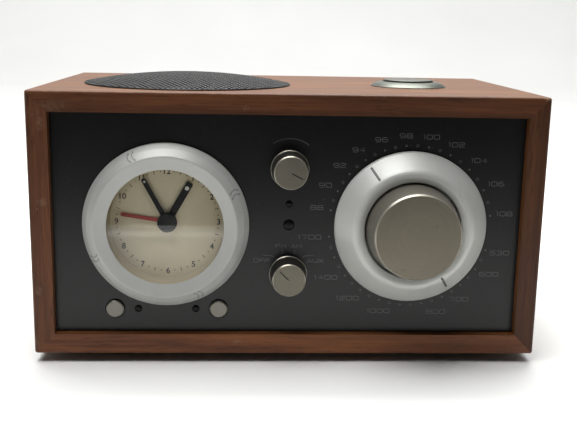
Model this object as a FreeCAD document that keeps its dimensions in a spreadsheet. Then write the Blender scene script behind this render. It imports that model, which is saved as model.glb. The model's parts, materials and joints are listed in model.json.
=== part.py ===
import FreeCAD, Part
import math
import os

import Sketcher

# Table clock radio in a wooden cabinet.
# X is to the right as seen from the front, Y goes to the back, Z is up.
# The origin is at the middle of the footprint, on the plane the feet stand on.
# "Proud" heights are measured along the local Z axis of a sub-part. On the front it
# points at the listener from the face of the front panel, on the back it points away
# from the rear panel, and on the top it points up from the top of the cabinet.

V = FreeCAD.Vector
ORIGIN = FreeCAD.Placement()
FRONT = FreeCAD.Rotation(V(1, 0, 0), 90)
REAR = FreeCAD.Rotation(V(0, 1, 1), 180)
UPRIGHT = FreeCAD.Rotation()

doc = FreeCAD.newDocument("radio")
dims = doc.addObject("Spreadsheet::Sheet", "dims")


class Size:
    """A number together with the spreadsheet expression that gives it."""

    def __init__(self, number, text):
        self.number = number
        self.text = text

    def join(self, sign, other, number):
        return Size(number, "(%s %s %s)" % (self.text, sign, other.text))

    def __add__(self, other):
        other = as_size(other)
        return self.join("+", other, self.number + other.number)

    def __radd__(self, other):
        return as_size(other) + self

    def __sub__(self, other):
        other = as_size(other)
        return self.join("-", other, self.number - other.number)

    def __rsub__(self, other):
        return as_size(other) - self

    def __mul__(self, other):
        other = as_size(other)
        return self.join("*", other, self.number * other.number)

    def __rmul__(self, other):
        return as_size(other) * self

    def __truediv__(self, other):
        other = as_size(other)
        return self.join("/", other, self.number / other.number)

    def __neg__(self):
        return Size(-self.number, "(0 - %s)" % self.text)


def as_size(value):
    if isinstance(value, Size):
        return value
    if value < 0:
        return Size(float(value), "(0 - %s)" % repr(-float(value)))
    return Size(float(value), repr(float(value)))


sheet_rows = []


def size(name, number):
    """Put one named number in the spreadsheet."""
    sheet_rows.append(name)
    row = len(sheet_rows)
    dims.set("A%d" % row, name)
    dims.set("B%d" % row, str(number))
    dims.setAlias("B%d" % row, name)
    return Size(float(number), "dims." + name)


# Cabinet
cab_w = size("cabinet_width", 212.7)
cab_h = size("cabinet_height", 110.3)
cab_d = size("cabinet_depth", 130)
board = size("board_thickness", 8.6)
edge_round = size("cabinet_edge_round", 1.1)
feet_h = size("feet_height", 4)
foot_r = size("foot_radius", 7)
foot_x = size("foot_offset_x", 86)
foot_y = size("foot_offset_y", 48)
knob_proj = size("tuning_knob_past_cabinet", 16.5)
rear_proj = size("antenna_socket_past_cabinet", 5)
panel_in = size("front_panel_recess", 4)
panel_t = size("front_panel_sheet", 1.2)
sub_t = size("front_subpanel_thickness", 3)
back_in = size("rear_panel_recess", 3)
back_t = size("rear_panel_thickness", 2.5)
fit_gap = size("panel_edge_gap", 0.15)

# Front controls
dial_x = size("dial_offset_x", 51)
bezel_r = size("bezel_radius", 34.4)
bezel_ridge_r = size("bezel_ridge_radius", 29.35)
bezel_open_r = size("bezel_opening_radius", 24.05)
bezel_h = size("bezel_height", 6.9)
cup_r = size("clock_cup_radius", 27)
lens_r = size("lens_radius", 25.4)
dial_r = size("clock_dial_radius", 24.5)
dial_depth = size("clock_dial_depth", 7)
minute_len = size("minute_hand_length", 21.1)
hour_len = size("hour_hand_length", 19.5)
alarm_len = size("alarm_hand_length", 19.9)
minute_angle = size("minute_hand_angle", -28.4)
hour_angle = size("hour_hand_angle", 29.9)
alarm_angle = size("alarm_hand_angle", -81)
ring_r = size("tuning_ring_radius", 32.1)
ring_crest_r = size("tuning_ring_crest_radius", 23.1)
ring_crest_h = size("tuning_ring_crest_height", 9.1)
ring_hole_r = size("tuning_ring_hole_radius", 20.2)
ring_hole_h = size("tuning_ring_hole_height", 8.35)
tuner_r = size("tuning_knob_radius", 19.45)
tuner_face_r = size("tuning_knob_face_radius", 17.65)
knob_r = size("small_knob_radius", 8)
knob_face_r = size("small_knob_face_radius", 6.7)
knob_h = size("small_knob_height", 10.9)
volume_angle = size("volume_knob_angle", 117)
selector_angle = size("selector_knob_angle", -45)
dial_angle = size("tuning_dial_angle", -34)
volume_z = size("volume_knob_offset_z", 24)
selector_z = size("selector_knob_offset_z", -20.8)
button_x = size("button_offset_x", 21.8)
button_z = size("button_offset_z", -36.4)
button_r = size("button_radius", 3.8)
small_lamp_z = size("small_lamp_offset_z", 9.35)
small_lamp_r = size("small_lamp_radius", 1.4)
big_lamp_z = size("big_lamp_offset_z", 0.4)
big_lamp_r = size("big_lamp_radius", 2.3)
clock_lamp_x = size("clock_lamp_offset_x", 12.1)
clock_lamp_r = size("clock_lamp_radius", 1.55)
shaft_r = size("control_shaft_radius", 3)
running = size("running_clearance", 0.05)
board_d = size("control_board_depth", 13)

# Vernier drive: a sun shaft, three balls and a fixed race
sun_r = size("sun_radius", 2)
ball_r = size("ball_radius", 3)
race_r = size("race_radius", 8)
ball_depth = size("ball_depth", 9)

# Top
grille_x = size("grille_offset_x", -44.8)
grille_y = size("grille_behind_front", 54)
grille_r = size("grille_radius", 46.5)
grille_h = size("grille_height", 5.3)
grille_t = size("grille_sheet", 0.8)
grille_edge = size("grille_edge_height", 0.6)
snooze_x = size("snooze_offset_x", 57)
snooze_y = size("snooze_behind_front", 57.5)
snooze_r = size("snooze_ring_radius", 17.3)
snooze_top_r = size("snooze_disc_radius", 11.4)
snooze_h = size("snooze_height", 3.1)
rebate_depth = size("speaker_rebate", 4)

# Bottom and back
port_x = size("port_offset_x", -18)
port_y = size("port_offset_y", 6)
port_r = size("port_radius", 19)
antenna_x = size("antenna_socket_offset_x", 66)
antenna_z = size("antenna_socket_height", 88)
slider_x = size("antenna_slider_offset_x", 42)
jack_x = size("audio_jack_offset_x", 30)
jack_z = size("audio_jack_height", 60)
jack_pitch = size("audio_jack_pitch", 15)
dc_x = size("dc_socket_offset_x", -56)
dc_z = size("dc_socket_height", 62)
ac_x = size("ac_inlet_offset_x", -56)
ac_z = size("ac_inlet_height", 86)
door_x = size("battery_door_offset_x", -50)
door_z = size("battery_door_offset_z", 31)
door_w = size("battery_door_width", 62)
door_h = size("battery_door_height", 24)
bay_d = size("battery_bay_depth", 20)
jack_r = size("audio_jack_bore_radius", 1.8)
doc.recompute()

front_y = (knob_proj - cab_d - rear_proj) / 2
back_y = front_y + cab_d
panel_y = front_y + panel_in
back_face_y = back_y - back_in
mid_z = feet_h + cab_h / 2
top_z = feet_h + cab_h
floor_z = feet_h + board
roof_z = top_z - board
inner_w = cab_w - board * 2
inner_h = cab_h - board * 2
sub_back = -(panel_t + sub_t)


# ---------------------------------------------------------------- helpers

def bind(thing, name, value):
    """Tie one property to the spreadsheet."""
    value = as_size(value)
    setattr(thing, name, value.number)
    thing.setExpression(name, value.text)


def place(thing, label, x, y, z, turn=UPRIGHT):
    """Name a finished sub-part and put it where it belongs."""
    thing.Label = label
    x, y, z = as_size(x), as_size(y), as_size(z)
    thing.Placement = FreeCAD.Placement(V(x.number, y.number, z.number), turn)
    thing.setExpression("Placement.Base.x", x.text)
    thing.setExpression("Placement.Base.y", y.text)
    thing.setExpression("Placement.Base.z", z.text)
    return thing


def on_front(thing, label, x, z):
    """Stand a sub-part on the front panel, x and z from the panel's middle."""
    return place(thing, label, x, panel_y, mid_z + z, FRONT)


def turned_front(thing, label, x, z, clockwise):
    """As on_front, turned clockwise as seen by the listener."""
    turn = FRONT * FreeCAD.Rotation(V(0, 0, 1), -clockwise.number)
    return place(thing, label, x, panel_y, mid_z + z, turn)


def on_top(thing, label, x, behind):
    return place(thing, label, x, front_y + behind, top_z)


def on_back(thing, label, x, z):
    return place(thing, label, x, back_face_y, z, REAR)


def new_body(name):
    return doc.addObject("PartDesign::Body", name)


def body_plane(body, role):
    for feature in body.Origin.OriginFeatures:
        if feature.Role == role:
            return feature


def new_sketch(body, role, height=0):
    """A sketch on one of the body's planes, lifted along the plane's normal."""
    sketch = body.newObject("Sketcher::SketchObject", "Sketch")
    sketch.AttachmentSupport = [(body_plane(body, role), "")]
    sketch.MapMode = "FlatFace"
    height = as_size(height)
    sketch.AttachmentOffset = FreeCAD.Placement(V(0, 0, height.number), UPRIGHT)
    sketch.setExpression("AttachmentOffset.Base.z", height.text)
    return sketch


def pin_point(sketch, edge, point, along_x, along_y):
    """Fix one point of the sketch at a distance from the sketch's origin."""
    for kind, axis, value in (("DistanceX", -2, along_x), ("DistanceY", -1, along_y)):
        value = as_size(value)
        if abs(value.number) < 1e-9:
            sketch.addConstraint(Sketcher.Constraint("PointOnObject", edge, point, axis))
            continue
        made = sketch.addConstraint(Sketcher.Constraint(kind, -1, 1, edge, point, value.number))
        sketch.setExpression("Constraints[%d]" % made, value.text)


def draw_polygon(sketch, points):
    """Closed outline through points given as (along, up) pairs."""
    points = [(as_size(a), as_size(b)) for a, b in points]
    first = sketch.GeometryCount
    count = len(points)
    for i in range(count):
        a = points[i]
        b = points[(i + 1) % count]
        start = V(a[0].number, a[1].number, 0)
        end = V(b[0].number, b[1].number, 0)
        sketch.addGeometry(Part.LineSegment(start, end), False)
    for i in range(count):
        following = first + (i + 1) % count
        sketch.addConstraint(Sketcher.Constraint("Coincident", first + i, 2, following, 1))
    for i in range(count):
        pin_point(sketch, first + i, 1, points[i][0], points[i][1])


def draw_circle(sketch, x, y, radius):
    x, y, radius = as_size(x), as_size(y), as_size(radius)
    circle = Part.Circle(V(x.number, y.number, 0), V(0, 0, 1), radius.number)
    edge = sketch.addGeometry(circle, False)
    made = sketch.addConstraint(Sketcher.Constraint("Radius", edge, radius.number))
    sketch.setExpression("Constraints[%d]" % made, radius.text)
    if abs(x.number) < 1e-9 and abs(y.number) < 1e-9:
        sketch.addConstraint(Sketcher.Constraint("Coincident", edge, 3, -1, 1))
        return
    pin_point(sketch, edge, 3, x, y)


def rectangle(x0, y0, x1, y1):
    return [(x0, y0), (x1, y0), (x1, y1), (x0, y1)]


def centred(width, height, x=0, y=0):
    """Corners of a rectangle about a centre."""
    width, height = as_size(width), as_size(height)
    return rectangle(x - width / 2, y - height / 2, x + width / 2, y + height / 2)


def turn_profile(body, points, cut=False):
    """Revolve a (radius, height) outline about the local Z axis."""
    sketch = new_sketch(body, "XZ_Plane")
    draw_polygon(sketch, points)
    kind = "PartDesign::Groove" if cut else "PartDesign::Revolution"
    feature = body.newObject(kind, "Turned")
    feature.Profile = sketch
    feature.ReferenceAxis = (sketch, ["V_Axis"])
    feature.Angle = 360
    sketch.Visibility = False
    return feature


def turned_body(name, points):
    body = new_body(name)
    turn_profile(body, points)
    return body


def pad(body, bottom, height, outlines=(), circles=()):
    """Raise outlines and circles from one level by a height."""
    sketch = new_sketch(body, "XY_Plane", bottom)
    for points in outlines:
        draw_polygon(sketch, points)
    for x, y, radius in circles:
        draw_circle(sketch, x, y, radius)
    feature = body.newObject("PartDesign::Pad", "Pad")
    feature.Profile = sketch
    bind(feature, "Length", height)
    sketch.Visibility = False
    return feature


def pocket(body, top, depth, outlines=(), circles=()):
    """Cut outlines and circles down from one level by a depth."""
    sketch = new_sketch(body, "XY_Plane", top)
    for points in outlines:
        draw_polygon(sketch, points)
    for x, y, radius in circles:
        draw_circle(sketch, x, y, radius)
    feature = body.newObject("PartDesign::Pocket", "Pocket")
    feature.Profile = sketch
    bind(feature, "Length", depth)
    sketch.Visibility = False
    return feature


def plate(name, bottom, height, outline, holes=(), windows=()):
    """A flat piece with round holes and straight-sided windows."""
    body = new_body(name)
    pad(body, bottom, height, [outline] + list(windows), holes)
    return body


def box(width, depth, height, x, y, z):
    """A Part box by its size and its low corner."""
    thing = doc.addObject("Part::Box", "Block")
    bind(thing, "Length", width)
    bind(thing, "Width", depth)
    bind(thing, "Height", height)
    place(thing, "block", x, y, z)
    return thing


def middle_box(width, depth, height, x, y, z):
    """A Part box centred in x and y, standing on z."""
    width, depth = as_size(width), as_size(depth)
    return box(width, depth, height, x - width / 2, y - depth / 2, z)


def rod(radius, height, x, y, z, turn=UPRIGHT):
    thing = doc.addObject("Part::Cylinder", "Rod")
    bind(thing, "Radius", radius)
    bind(thing, "Height", height)
    place(thing, "rod", x, y, z, turn)
    return thing


def subtract(base, tools):
    thing = doc.addObject("Part::Cut", "Cut")
    thing.Base = base
    thing.Tool = tools if not isinstance(tools, list) else join(tools)
    return thing


def join(things):
    if len(things) == 1:
        return things[0]
    thing = doc.addObject("Part::MultiFuse", "Join")
    thing.Shapes = things
    return thing


def together(things):
    """Separate solids kept in one sub-part."""
    thing = doc.addObject("Part::Compound", "Together")
    thing.Links = things
    return thing


def overlap(a, b):
    thing = doc.addObject("Part::MultiCommon", "Overlap")
    thing.Shapes = [a, b]
    return thing


def polar(radius, angle):
    """A point at an angle in degrees on a circle, as two sizes."""
    angle = math.radians(angle)
    radius = as_size(radius)
    return radius * round(math.cos(angle), 6), radius * round(math.sin(angle), 6)


# ---------------------------------------------------------------- cabinet

SCREW_HEAD_R = 2.9
SCREW_SHANK_R = 1.4
SCREW_LENGTH = 9.5
CORNERS = [(-1, -1), (1, -1), (1, 1), (-1, 1)]
rear_screw_x = inner_w / 2 - 7
rear_screw_z = inner_h / 2 - 7
foot_screw_top = 2.2
speaker_screw_r = 41.6
rebate_r = grille_r - 1.7
speaker_hole_r = 38.6
snooze_well_r = 13.6


def cabinet_shell():
    """The four boards as one rounded frame, before it is mitred."""
    outer = box(cab_w, cab_d, cab_h, -cab_w / 2, front_y, feet_h)
    rounded = doc.addObject("Part::Fillet", "Rounded")
    rounded.Base = outer
    rounded.Edges = [(i, edge_round.number, edge_round.number) for i in range(1, 13)]
    inside = box(inner_w, cab_d + 2, inner_h, -inner_w / 2, front_y - 1, floor_z)
    return subtract(rounded, inside)


def mitre(side):
    """A wedge that keeps one board of the frame: its long face is the outer one."""
    reach = board + 3
    wide = cab_w if side in ("top", "bottom") else cab_h
    wedge = doc.addObject("Part::Wedge", "Mitre")
    bind(wedge, "Xmin", -wide / 2 + reach)
    bind(wedge, "Xmax", wide / 2 - reach)
    bind(wedge, "X2min", -wide / 2)
    bind(wedge, "X2max", wide / 2)
    bind(wedge, "Ymin", 0)
    bind(wedge, "Ymax", reach)
    bind(wedge, "Zmin", 0)
    bind(wedge, "Zmax", cab_d)
    bind(wedge, "Z2min", 0)
    bind(wedge, "Z2max", cab_d)
    spin = {"top": 0, "left_side": -90, "bottom": 180, "right_side": 90}[side]
    turn = FreeCAD.Rotation(V(0, 1, 0), spin) * FRONT
    where = {
        "top": (0, top_z - reach),
        "bottom": (0, feet_h + reach),
        "left_side": (-cab_w / 2 + reach, mid_z),
        "right_side": (cab_w / 2 - reach, mid_z),
    }[side]
    place(wedge, "mitre", where[0], back_y, where[1], turn)
    return wedge


def cabinet_board(side, cutters=()):
    kept = overlap(cabinet_shell(), mitre(side))
    if cutters:
        kept = subtract(kept, list(cutters))
    return place(kept, "cabinet_" + side, 0, 0, 0)


def cabinet_top():
    """Top board: rebate and hole for the speaker, well for the snooze button."""
    x, y = grille_x, front_y + grille_y
    cutters = [rod(rebate_r, rebate_depth + 5, x, y, top_z - rebate_depth)]
    cutters.append(rod(speaker_hole_r, board + 2, x, y, roof_z - 1))
    cutters.append(rod(snooze_well_r, board + 2, snooze_x, front_y + snooze_y, roof_z - 1))
    for angle in (45, 135, 225, 315):
        dx, dy = polar(speaker_screw_r, angle)
        hole = rod(SCREW_SHANK_R, SCREW_LENGTH, x + dx, y + dy, top_z - rebate_depth - SCREW_LENGTH + 1.5)
        cutters.append(hole)
    return cabinet_board("top", cutters)


def cabinet_bottom():
    """Bottom board: port hole and pilot holes for the feet."""
    cutters = [rod(port_r, board + 2, port_x, port_y, feet_h - 1)]
    for side, end in CORNERS:
        cutters.append(rod(SCREW_SHANK_R, SCREW_LENGTH, foot_x * side, foot_y * end + 5.75, foot_screw_top))
    return cabinet_board("bottom", cutters)


def corner_blocks():
    """Glued blocks behind the front sub-panel and in front of the rear panel."""
    blocks = []
    for side, up in CORNERS:
        x = (inner_w / 2 - 6) * side
        z = mid_z + (inner_h / 2 - 6) * up
        front = panel_y - sub_back
        blocks.append(box(12, 12, 12, x - 6, front, z - 6))
        rear = back_face_y - back_t - 14
        block = box(12, 14, 12, x - 6, rear, z - 6)
        hole = rod(SCREW_SHANK_R, 12, rear_screw_x * side, rear + 14, mid_z + rear_screw_z * up, FRONT)
        blocks.append(subtract(block, hole))
    return place(together(blocks), "corner_blocks", 0, 0, 0)


def rubber_feet():
    feet = []
    for side, end in CORNERS:
        profile = [(1.4, foot_screw_top), (1.4, feet_h), (foot_r, feet_h), (foot_r - 0.4, 0.6)]
        profile += [(foot_r - 1, 0), (3.6, 0), (3.6, foot_screw_top)]
        foot = turned_body("Foot", profile)
        feet.append(place(foot, "foot", foot_x * side, foot_y * end + 5.75, 0))
    return place(together(feet), "rubber_feet", 0, 0, 0)


def screw(x, y, z, turn):
    """A pan-head wood screw: origin under the head, shank along local -Z."""
    profile = [(0, 1.6), (1.7, 1.6), (2.5, 1.2), (SCREW_HEAD_R, 0), (SCREW_SHANK_R, 0)]
    profile += [(SCREW_SHANK_R, 2 - SCREW_LENGTH), (0, -SCREW_LENGTH)]
    body = turned_body("Screw", profile)
    pocket(body, 1.6, 0.8, [centred(3, 0.6)])
    pocket(body, 1.6, 0.8, [centred(0.6, 3)])
    return place(body, "screw", x, y, z, turn)


def wood_screws():
    """Screws of the rear panel, the feet and the speaker."""
    screws = []
    for side, up in CORNERS:
        screws.append(screw(rear_screw_x * side, back_face_y, mid_z + rear_screw_z * up, REAR))
    below = FreeCAD.Rotation(V(1, 0, 0), 180)
    for side, end in CORNERS:
        screws.append(screw(foot_x * side, foot_y * end + 5.75, foot_screw_top, below))
    for angle in (45, 135, 225, 315):
        dx, dy = polar(speaker_screw_r, angle)
        height = top_z - rebate_depth + 1.5
        screws.append(screw(grille_x + dx, front_y + grille_y + dy, height, UPRIGHT))
    return place(together(screws), "wood_screws", 0, 0, 0)


def bass_port_tube():
    """Flared tube glued into the bottom board, open to the room below."""
    profile = [(port_r - 1.6, 0), (port_r, 0), (port_r, 46), (port_r - 1.6, 46)]
    body = turned_body("Port", profile)
    return place(body, "bass_port_tube", port_x, port_y, feet_h)


# ---------------------------------------------------------------- front panels

def panel_holes(clock_r, tuning_r, shaft_hole_r, button_hole_r, led_gap):
    """Every round opening of the front, as (x, y, radius) about the panel's middle."""
    holes = [(-dial_x, 0, clock_r), (dial_x, 0, tuning_r)]
    holes += [(0, volume_z, shaft_hole_r), (0, selector_z, shaft_hole_r)]
    holes += [(0, small_lamp_z, small_lamp_r + led_gap), (0, big_lamp_z, big_lamp_r + led_gap)]
    for side in (-1, 1):
        holes.append((-dial_x + button_x * side, button_z, button_hole_r))
        holes.append((-dial_x + clock_lamp_x * side, button_z, clock_lamp_r + led_gap))
    return holes


def front_panel():
    outline = centred(inner_w - fit_gap * 2, inner_h - fit_gap * 2)
    holes = panel_holes(cup_r + 2.4, 8.6, 3.55, button_r + 0.5, 0.05)
    return on_front(plate("Panel", -panel_t, panel_t, outline, holes), "front_panel", 0, 0)


def front_subpanel():
    outline = centred(inner_w - fit_gap * 2, inner_h - fit_gap * 2)
    holes = panel_holes(cup_r + 2.4, 8.6, 3.55, button_r + running * 2, 0.05)
    return on_front(plate("Subpanel", sub_back, sub_t, outline, holes), "front_subpanel", 0, 0)


def control_board():
    """L-shaped circuit board behind the middle column and the clock's buttons."""
    outline = [(-84, -44), (13, -44), (13, 41), (-13, 41), (-13, -29), (-84, -29)]
    holes = [(0, volume_z, shaft_r + 0.6), (0, selector_z, shaft_r + 0.6)]
    body = plate("Board", -board_d - 1.6, 1.6, outline, holes)
    posts = [(-80, -41, 2), (9.8, -41, 2), (9.8, 37.5, 2), (-9.8, 37.5, 2)]
    pad(body, -board_d, board_d + sub_back, (), posts)
    return on_front(body, "control_board", 0, 0)


def lamp(radius):
    """A small round-ended lamp with a flange and two leads down to its board."""
    body = new_body("Lamp")
    profile = [(0, 0.45), (radius * 0.5, 0.35), (radius * 0.86, 0.05), (radius, -0.4)]
    profile += [(radius, sub_back - 0.3), (radius + 0.4, sub_back - 0.3)]
    profile += [(radius + 0.4, sub_back - 1.3), (0, sub_back - 1.3)]
    turn_profile(body, profile)
    leads = [(radius * 0.5, 0, 0.22), (-radius * 0.5, 0, 0.22)]
    pad(body, -board_d, board_d + sub_back - 1.3, (), leads)
    return body


def panel_lamps():
    """Small power lamp over the larger lamp that shows good tuning."""
    small = place(lamp(small_lamp_r), "lamp", 0, small_lamp_z, 0)
    large = place(lamp(big_lamp_r), "lamp", 0, big_lamp_z, 0)
    return on_front(together([small, large]), "panel_lamps", 0, 0)


def clock_leds():
    left = place(lamp(clock_lamp_r), "lamp", -clock_lamp_x, 0, 0)
    right = place(lamp(clock_lamp_r), "lamp", clock_lamp_x, 0, 0)
    return on_front(together([left, right]), "clock_leds", -dial_x, button_z)


# ---------------------------------------------------------------- small controls

def small_knob():
    """Tapered knob: small bevels at both ends, a blind bore and a pointer groove."""
    body = new_body("Knob")
    profile = [(shaft_r, 0.7), (knob_r, 0.7), (knob_r, 1.1), (knob_r - 0.3, 1.4)]
    profile += [(knob_face_r + 0.2, knob_h - 0.4), (knob_face_r - 0.2, knob_h), (0, knob_h)]
    profile += [(0, 8.2), (shaft_r, 8.2)]
    turn_profile(body, profile)
    pocket(body, knob_h, 0.35, [centred(0.5, 5.2, 0, 2.9)])
    return body


def control_shaft():
    """Shaft with a cut flat at the knob end and a contact disc inside the control."""
    body = new_body("Shaft")
    profile = [(0, -11), (5.4, -11), (5.4, -9.6), (shaft_r, -9.6), (shaft_r, 8.2), (0, 8.2)]
    turn_profile(body, profile)
    pocket(body, 8.2, 6, [centred(6, 1, 0, 2.7)])
    return body


def control_case(terminals):
    """Square can with a threaded bushing through the panel and terminals."""
    body = new_body("Case")
    top = sub_back - 0.05
    bottom = -board_d
    pad(body, bottom, top - bottom, [centred(17, 17)])
    pad(body, top, -top + 0.45, (), [(0, 0, 3.5)])
    pocket(body, 0.45, 20, (), [(0, 0, shaft_r + running)])
    pocket(body, -9.3, 2, (), [(0, 0, 5.7)])
    pad(body, bottom, 4, [centred(17, 1.8, 0, -9.3)])
    pocket(body, bottom + 4, 4, [centred(1.4, 1.2, (i - (terminals - 2) / 2) * 2.5, -9.6)
                                 for i in range(terminals - 1)])
    return body


def volume_knob():
    return turned_front(small_knob(), "volume_knob", 0, volume_z, volume_angle)


def volume_shaft():
    return turned_front(control_shaft(), "volume_shaft", 0, volume_z, volume_angle)


def volume_pot():
    return on_front(control_case(3), "volume_pot", 0, volume_z)


def selector_knob():
    return turned_front(small_knob(), "selector_knob", 0, selector_z, selector_angle)


def selector_shaft():
    return turned_front(control_shaft(), "selector_shaft", 0, selector_z, selector_angle)


def selector_switch():
    return on_front(control_case(6), "selector_switch", 0, selector_z)


def push_button():
    """Cap that shows through the panel, with a flange behind it and a stem."""
    profile = [(0, 1.5), (button_r - 0.5, 1.5), (button_r, 1.1), (button_r, sub_back - 0.3)]
    profile += [(button_r + 1.2, sub_back - 0.3), (button_r + 1.2, sub_back - 1.3)]
    profile += [(2, sub_back - 1.3), (2, -7.9), (0, -7.9)]
    return turned_body("Button", profile)


def alarm_button():
    return on_front(push_button(), "alarm_button", -dial_x - button_x, button_z)


def sleep_button():
    return on_front(push_button(), "sleep_button", -dial_x + button_x, button_z)


def tact_switches():
    """Small switches under the front buttons and the snooze button."""
    parts = []
    for side in (-1, 1):
        x = -dial_x + button_x * side
        z = mid_z + button_z
        parts.append(box(6, 3.6, 6, x - 3, panel_y + board_d - 3.6, z - 3))
    parts.append(middle_box(6, 6, 3, snooze_x, front_y + snooze_y, top_z - 10.6))
    return place(together(parts), "tact_switches", 0, 0, 0)


# ---------------------------------------------------------------- tuning dial and drive

cage_r = race_r - 1
sun_end = -(ball_depth + 3.4)
hub_end = sun_end - 0.4
rotor_front = hub_end - 1.2


def tuning_dial_ring():
    """Dished ring with a web, a hub through the panel and the cage of the drive balls."""
    body = new_body("Ring")
    profile = [(shaft_r + running, 2.2), (ring_hole_r - 0.1, 2.2), (ring_hole_r, ring_hole_h - 0.5)]
    profile += [(ring_hole_r + 0.4, ring_hole_h)]
    for beyond, drop in ((-1.8, 0.44), (-0.9, 0.13), (0, 0), (0.9, 0.13), (1.8, 0.55), (2.5, 1.1)):
        profile.append((ring_crest_r + beyond, ring_crest_h - drop))
    profile += [(ring_r - 0.4, 2.2), (ring_r, 1.6), (ring_r, 0.6), (ring_r - 1.4, 0.6)]
    profile += [(ring_crest_r + 1, 5.6), (ring_crest_r - 1.5, 6.2), (ring_hole_r + 1.6, 5.4)]
    profile += [(ring_hole_r + 1.6, 0.6), (cage_r, 0.6), (cage_r, rotor_front), (0, rotor_front)]
    profile += [(0, hub_end), (sun_r + running, hub_end), (sun_r + running, -6)]
    profile += [(shaft_r + running, -6)]
    turn_profile(body, profile)
    for angle in (90, 210, 330):
        x, y = polar(sun_r + ball_r, angle)
        ball_pocket(body, x, y)
    return turned_front(body, "tuning_dial_ring", dial_x, 0, dial_angle)


def ball_pocket(body, x, y):
    """Round window of the cage that carries one ball."""
    reach = ball_r + running
    pocket(body, -ball_depth + reach, reach * 2, (), [(x, y, reach)])


def drive_balls():
    balls = []
    for angle in (90, 210, 330):
        x, y = polar(sun_r + ball_r, angle)
        ball = doc.addObject("Part::Sphere", "Ball")
        bind(ball, "Radius", ball_r - running / 2)
        balls.append(place(ball, "ball", x, y, -ball_depth))
    return turned_front(together(balls), "drive_balls", dial_x, 0, dial_angle)


def tuning_knob():
    """Large tapered knob with a hollow back that sits inside the dial ring."""
    top = knob_proj + panel_in
    body = new_body("Knob")
    profile = [(shaft_r, 4.2), (6, 4.2), (6, 10), (tuner_r - 3, 10), (tuner_r - 3, 4.2)]
    profile += [(tuner_r, 4.2), (tuner_r, 8), (tuner_face_r + 0.03, top - 0.7)]
    profile += [(tuner_face_r - 0.6, top)]
    profile += [(0, top), (0, 16), (shaft_r, 16)]
    turn_profile(body, profile)
    return on_front(body, "tuning_knob", dial_x, 0)


def tuning_shaft():
    """Steel shaft: thick in the knob and the hub, thin where the balls roll on it."""
    profile = [(0, 16), (shaft_r, 16), (shaft_r, -5.9), (sun_r - running / 2, -5.9)]
    profile += [(sun_r - running / 2, sun_end), (0, sun_end)]
    return on_front(turned_body("Shaft", profile), "tuning_shaft", dial_x, 0)


def ball_race():
    """Fixed race on three posts from the sub-panel."""
    body = new_body("Race")
    top = 2.6 - ball_depth
    bottom = -ball_depth - 2.6
    profile = [(race_r + running, bottom), (13, bottom), (13, top), (race_r + running, top)]
    turn_profile(body, profile)
    posts = []
    for angle in (30, 150, 270):
        x, y = polar(11.2, angle)
        posts.append((x, y, 1.7))
    pad(body, top, sub_back - top, (), posts)
    return on_front(body, "ball_race", dial_x, 0)


frame_front = -ball_depth - 2.6
gang_pitch = 2.4
gangs = 9
gang_start = frame_front - 5.2


def capacitor_frame():
    """Folded steel frame of the tuning capacitor, with two bearing holes."""
    body = new_body("Frame")
    length = 27.5
    side = [rectangle(-18.5, -19.5, 18.5, -17.5)]
    pad(body, frame_front - length, length, side)
    pad(body, frame_front - 1.5, 1.5, [centred(37, 37, 0, -1)], [(0, 0, cage_r + 0.4)])
    pad(body, frame_front - length, 1.5, [centred(37, 37, 0, -1)], [(0, 0, 2.5 + running)])
    return on_front(body, "capacitor_frame", dial_x, 0)


def capacitor_stator():
    """Fixed plates on two side bars that reach between the frame's ends."""
    body = new_body("Stator")
    bars = [(-16.4, 8, 1.2), (16.4, 8, 1.2)]
    pad(body, frame_front - 26, 24.5, (), bars)
    for i in range(gangs):
        level = gang_start - gang_pitch * i - 0.25
        pad(body, level, 0.5, [rectangle(-17.4, 3.6, 17.4, 16.2)])
    return on_front(body, "capacitor_stator", dial_x, 0)


def capacitor_rotor():
    """Half-round plates on a spindle driven by the dial ring's hub."""
    body = new_body("Rotor")
    spindle = -(frame_front - 28.4) + rotor_front
    pad(body, rotor_front - spindle, spindle, (), [(0, 0, 2.5)])
    steps = 16
    half = [polar(14.4, 180 * i / steps) for i in range(steps + 1)]
    for i in range(gangs - 1):
        level = gang_start - gang_pitch * (i + 0.5) - 0.25
        pad(body, level, 0.5, [half])
    return turned_front(body, "capacitor_rotor", dial_x, 0, dial_angle)


# ---------------------------------------------------------------- clock

def clock_bezel():
    """Turning bezel: outer rim, crest, inner lip over the lens and a guided skirt."""
    body = new_body("Bezel")
    inner = bezel_ridge_r - bezel_open_r
    outer = bezel_r - bezel_ridge_r
    profile = [(bezel_open_r, bezel_h - 1.7), (bezel_open_r, bezel_h - 1.0)]
    profile += [(bezel_open_r + inner * 0.5, bezel_h - 0.5), (bezel_ridge_r - 0.3, bezel_h - 0.02)]
    profile += [(bezel_ridge_r, bezel_h), (bezel_ridge_r + outer * 0.07, bezel_h - 0.15)]
    profile += [(bezel_ridge_r + outer * 0.6, bezel_h - 2.5), (bezel_r - 0.3, 2.3)]
    profile += [(bezel_r, 1.8), (bezel_r, 0.6), (bezel_r - 1.6, 0.6), (cup_r + 2, 2.4)]
    profile += [(cup_r + 2, sub_back - 0.3), (cup_r + 3.2, sub_back - 0.3)]
    profile += [(cup_r + 3.2, sub_back - 1.4), (cup_r + running, sub_back - 1.4)]
    profile += [(cup_r + running, bezel_h - 1.7)]
    turn_profile(body, profile)
    return on_front(body, "clock_bezel", -dial_x, 0)


dial_top = -dial_depth
floor_top = dial_top - 0.8


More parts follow.
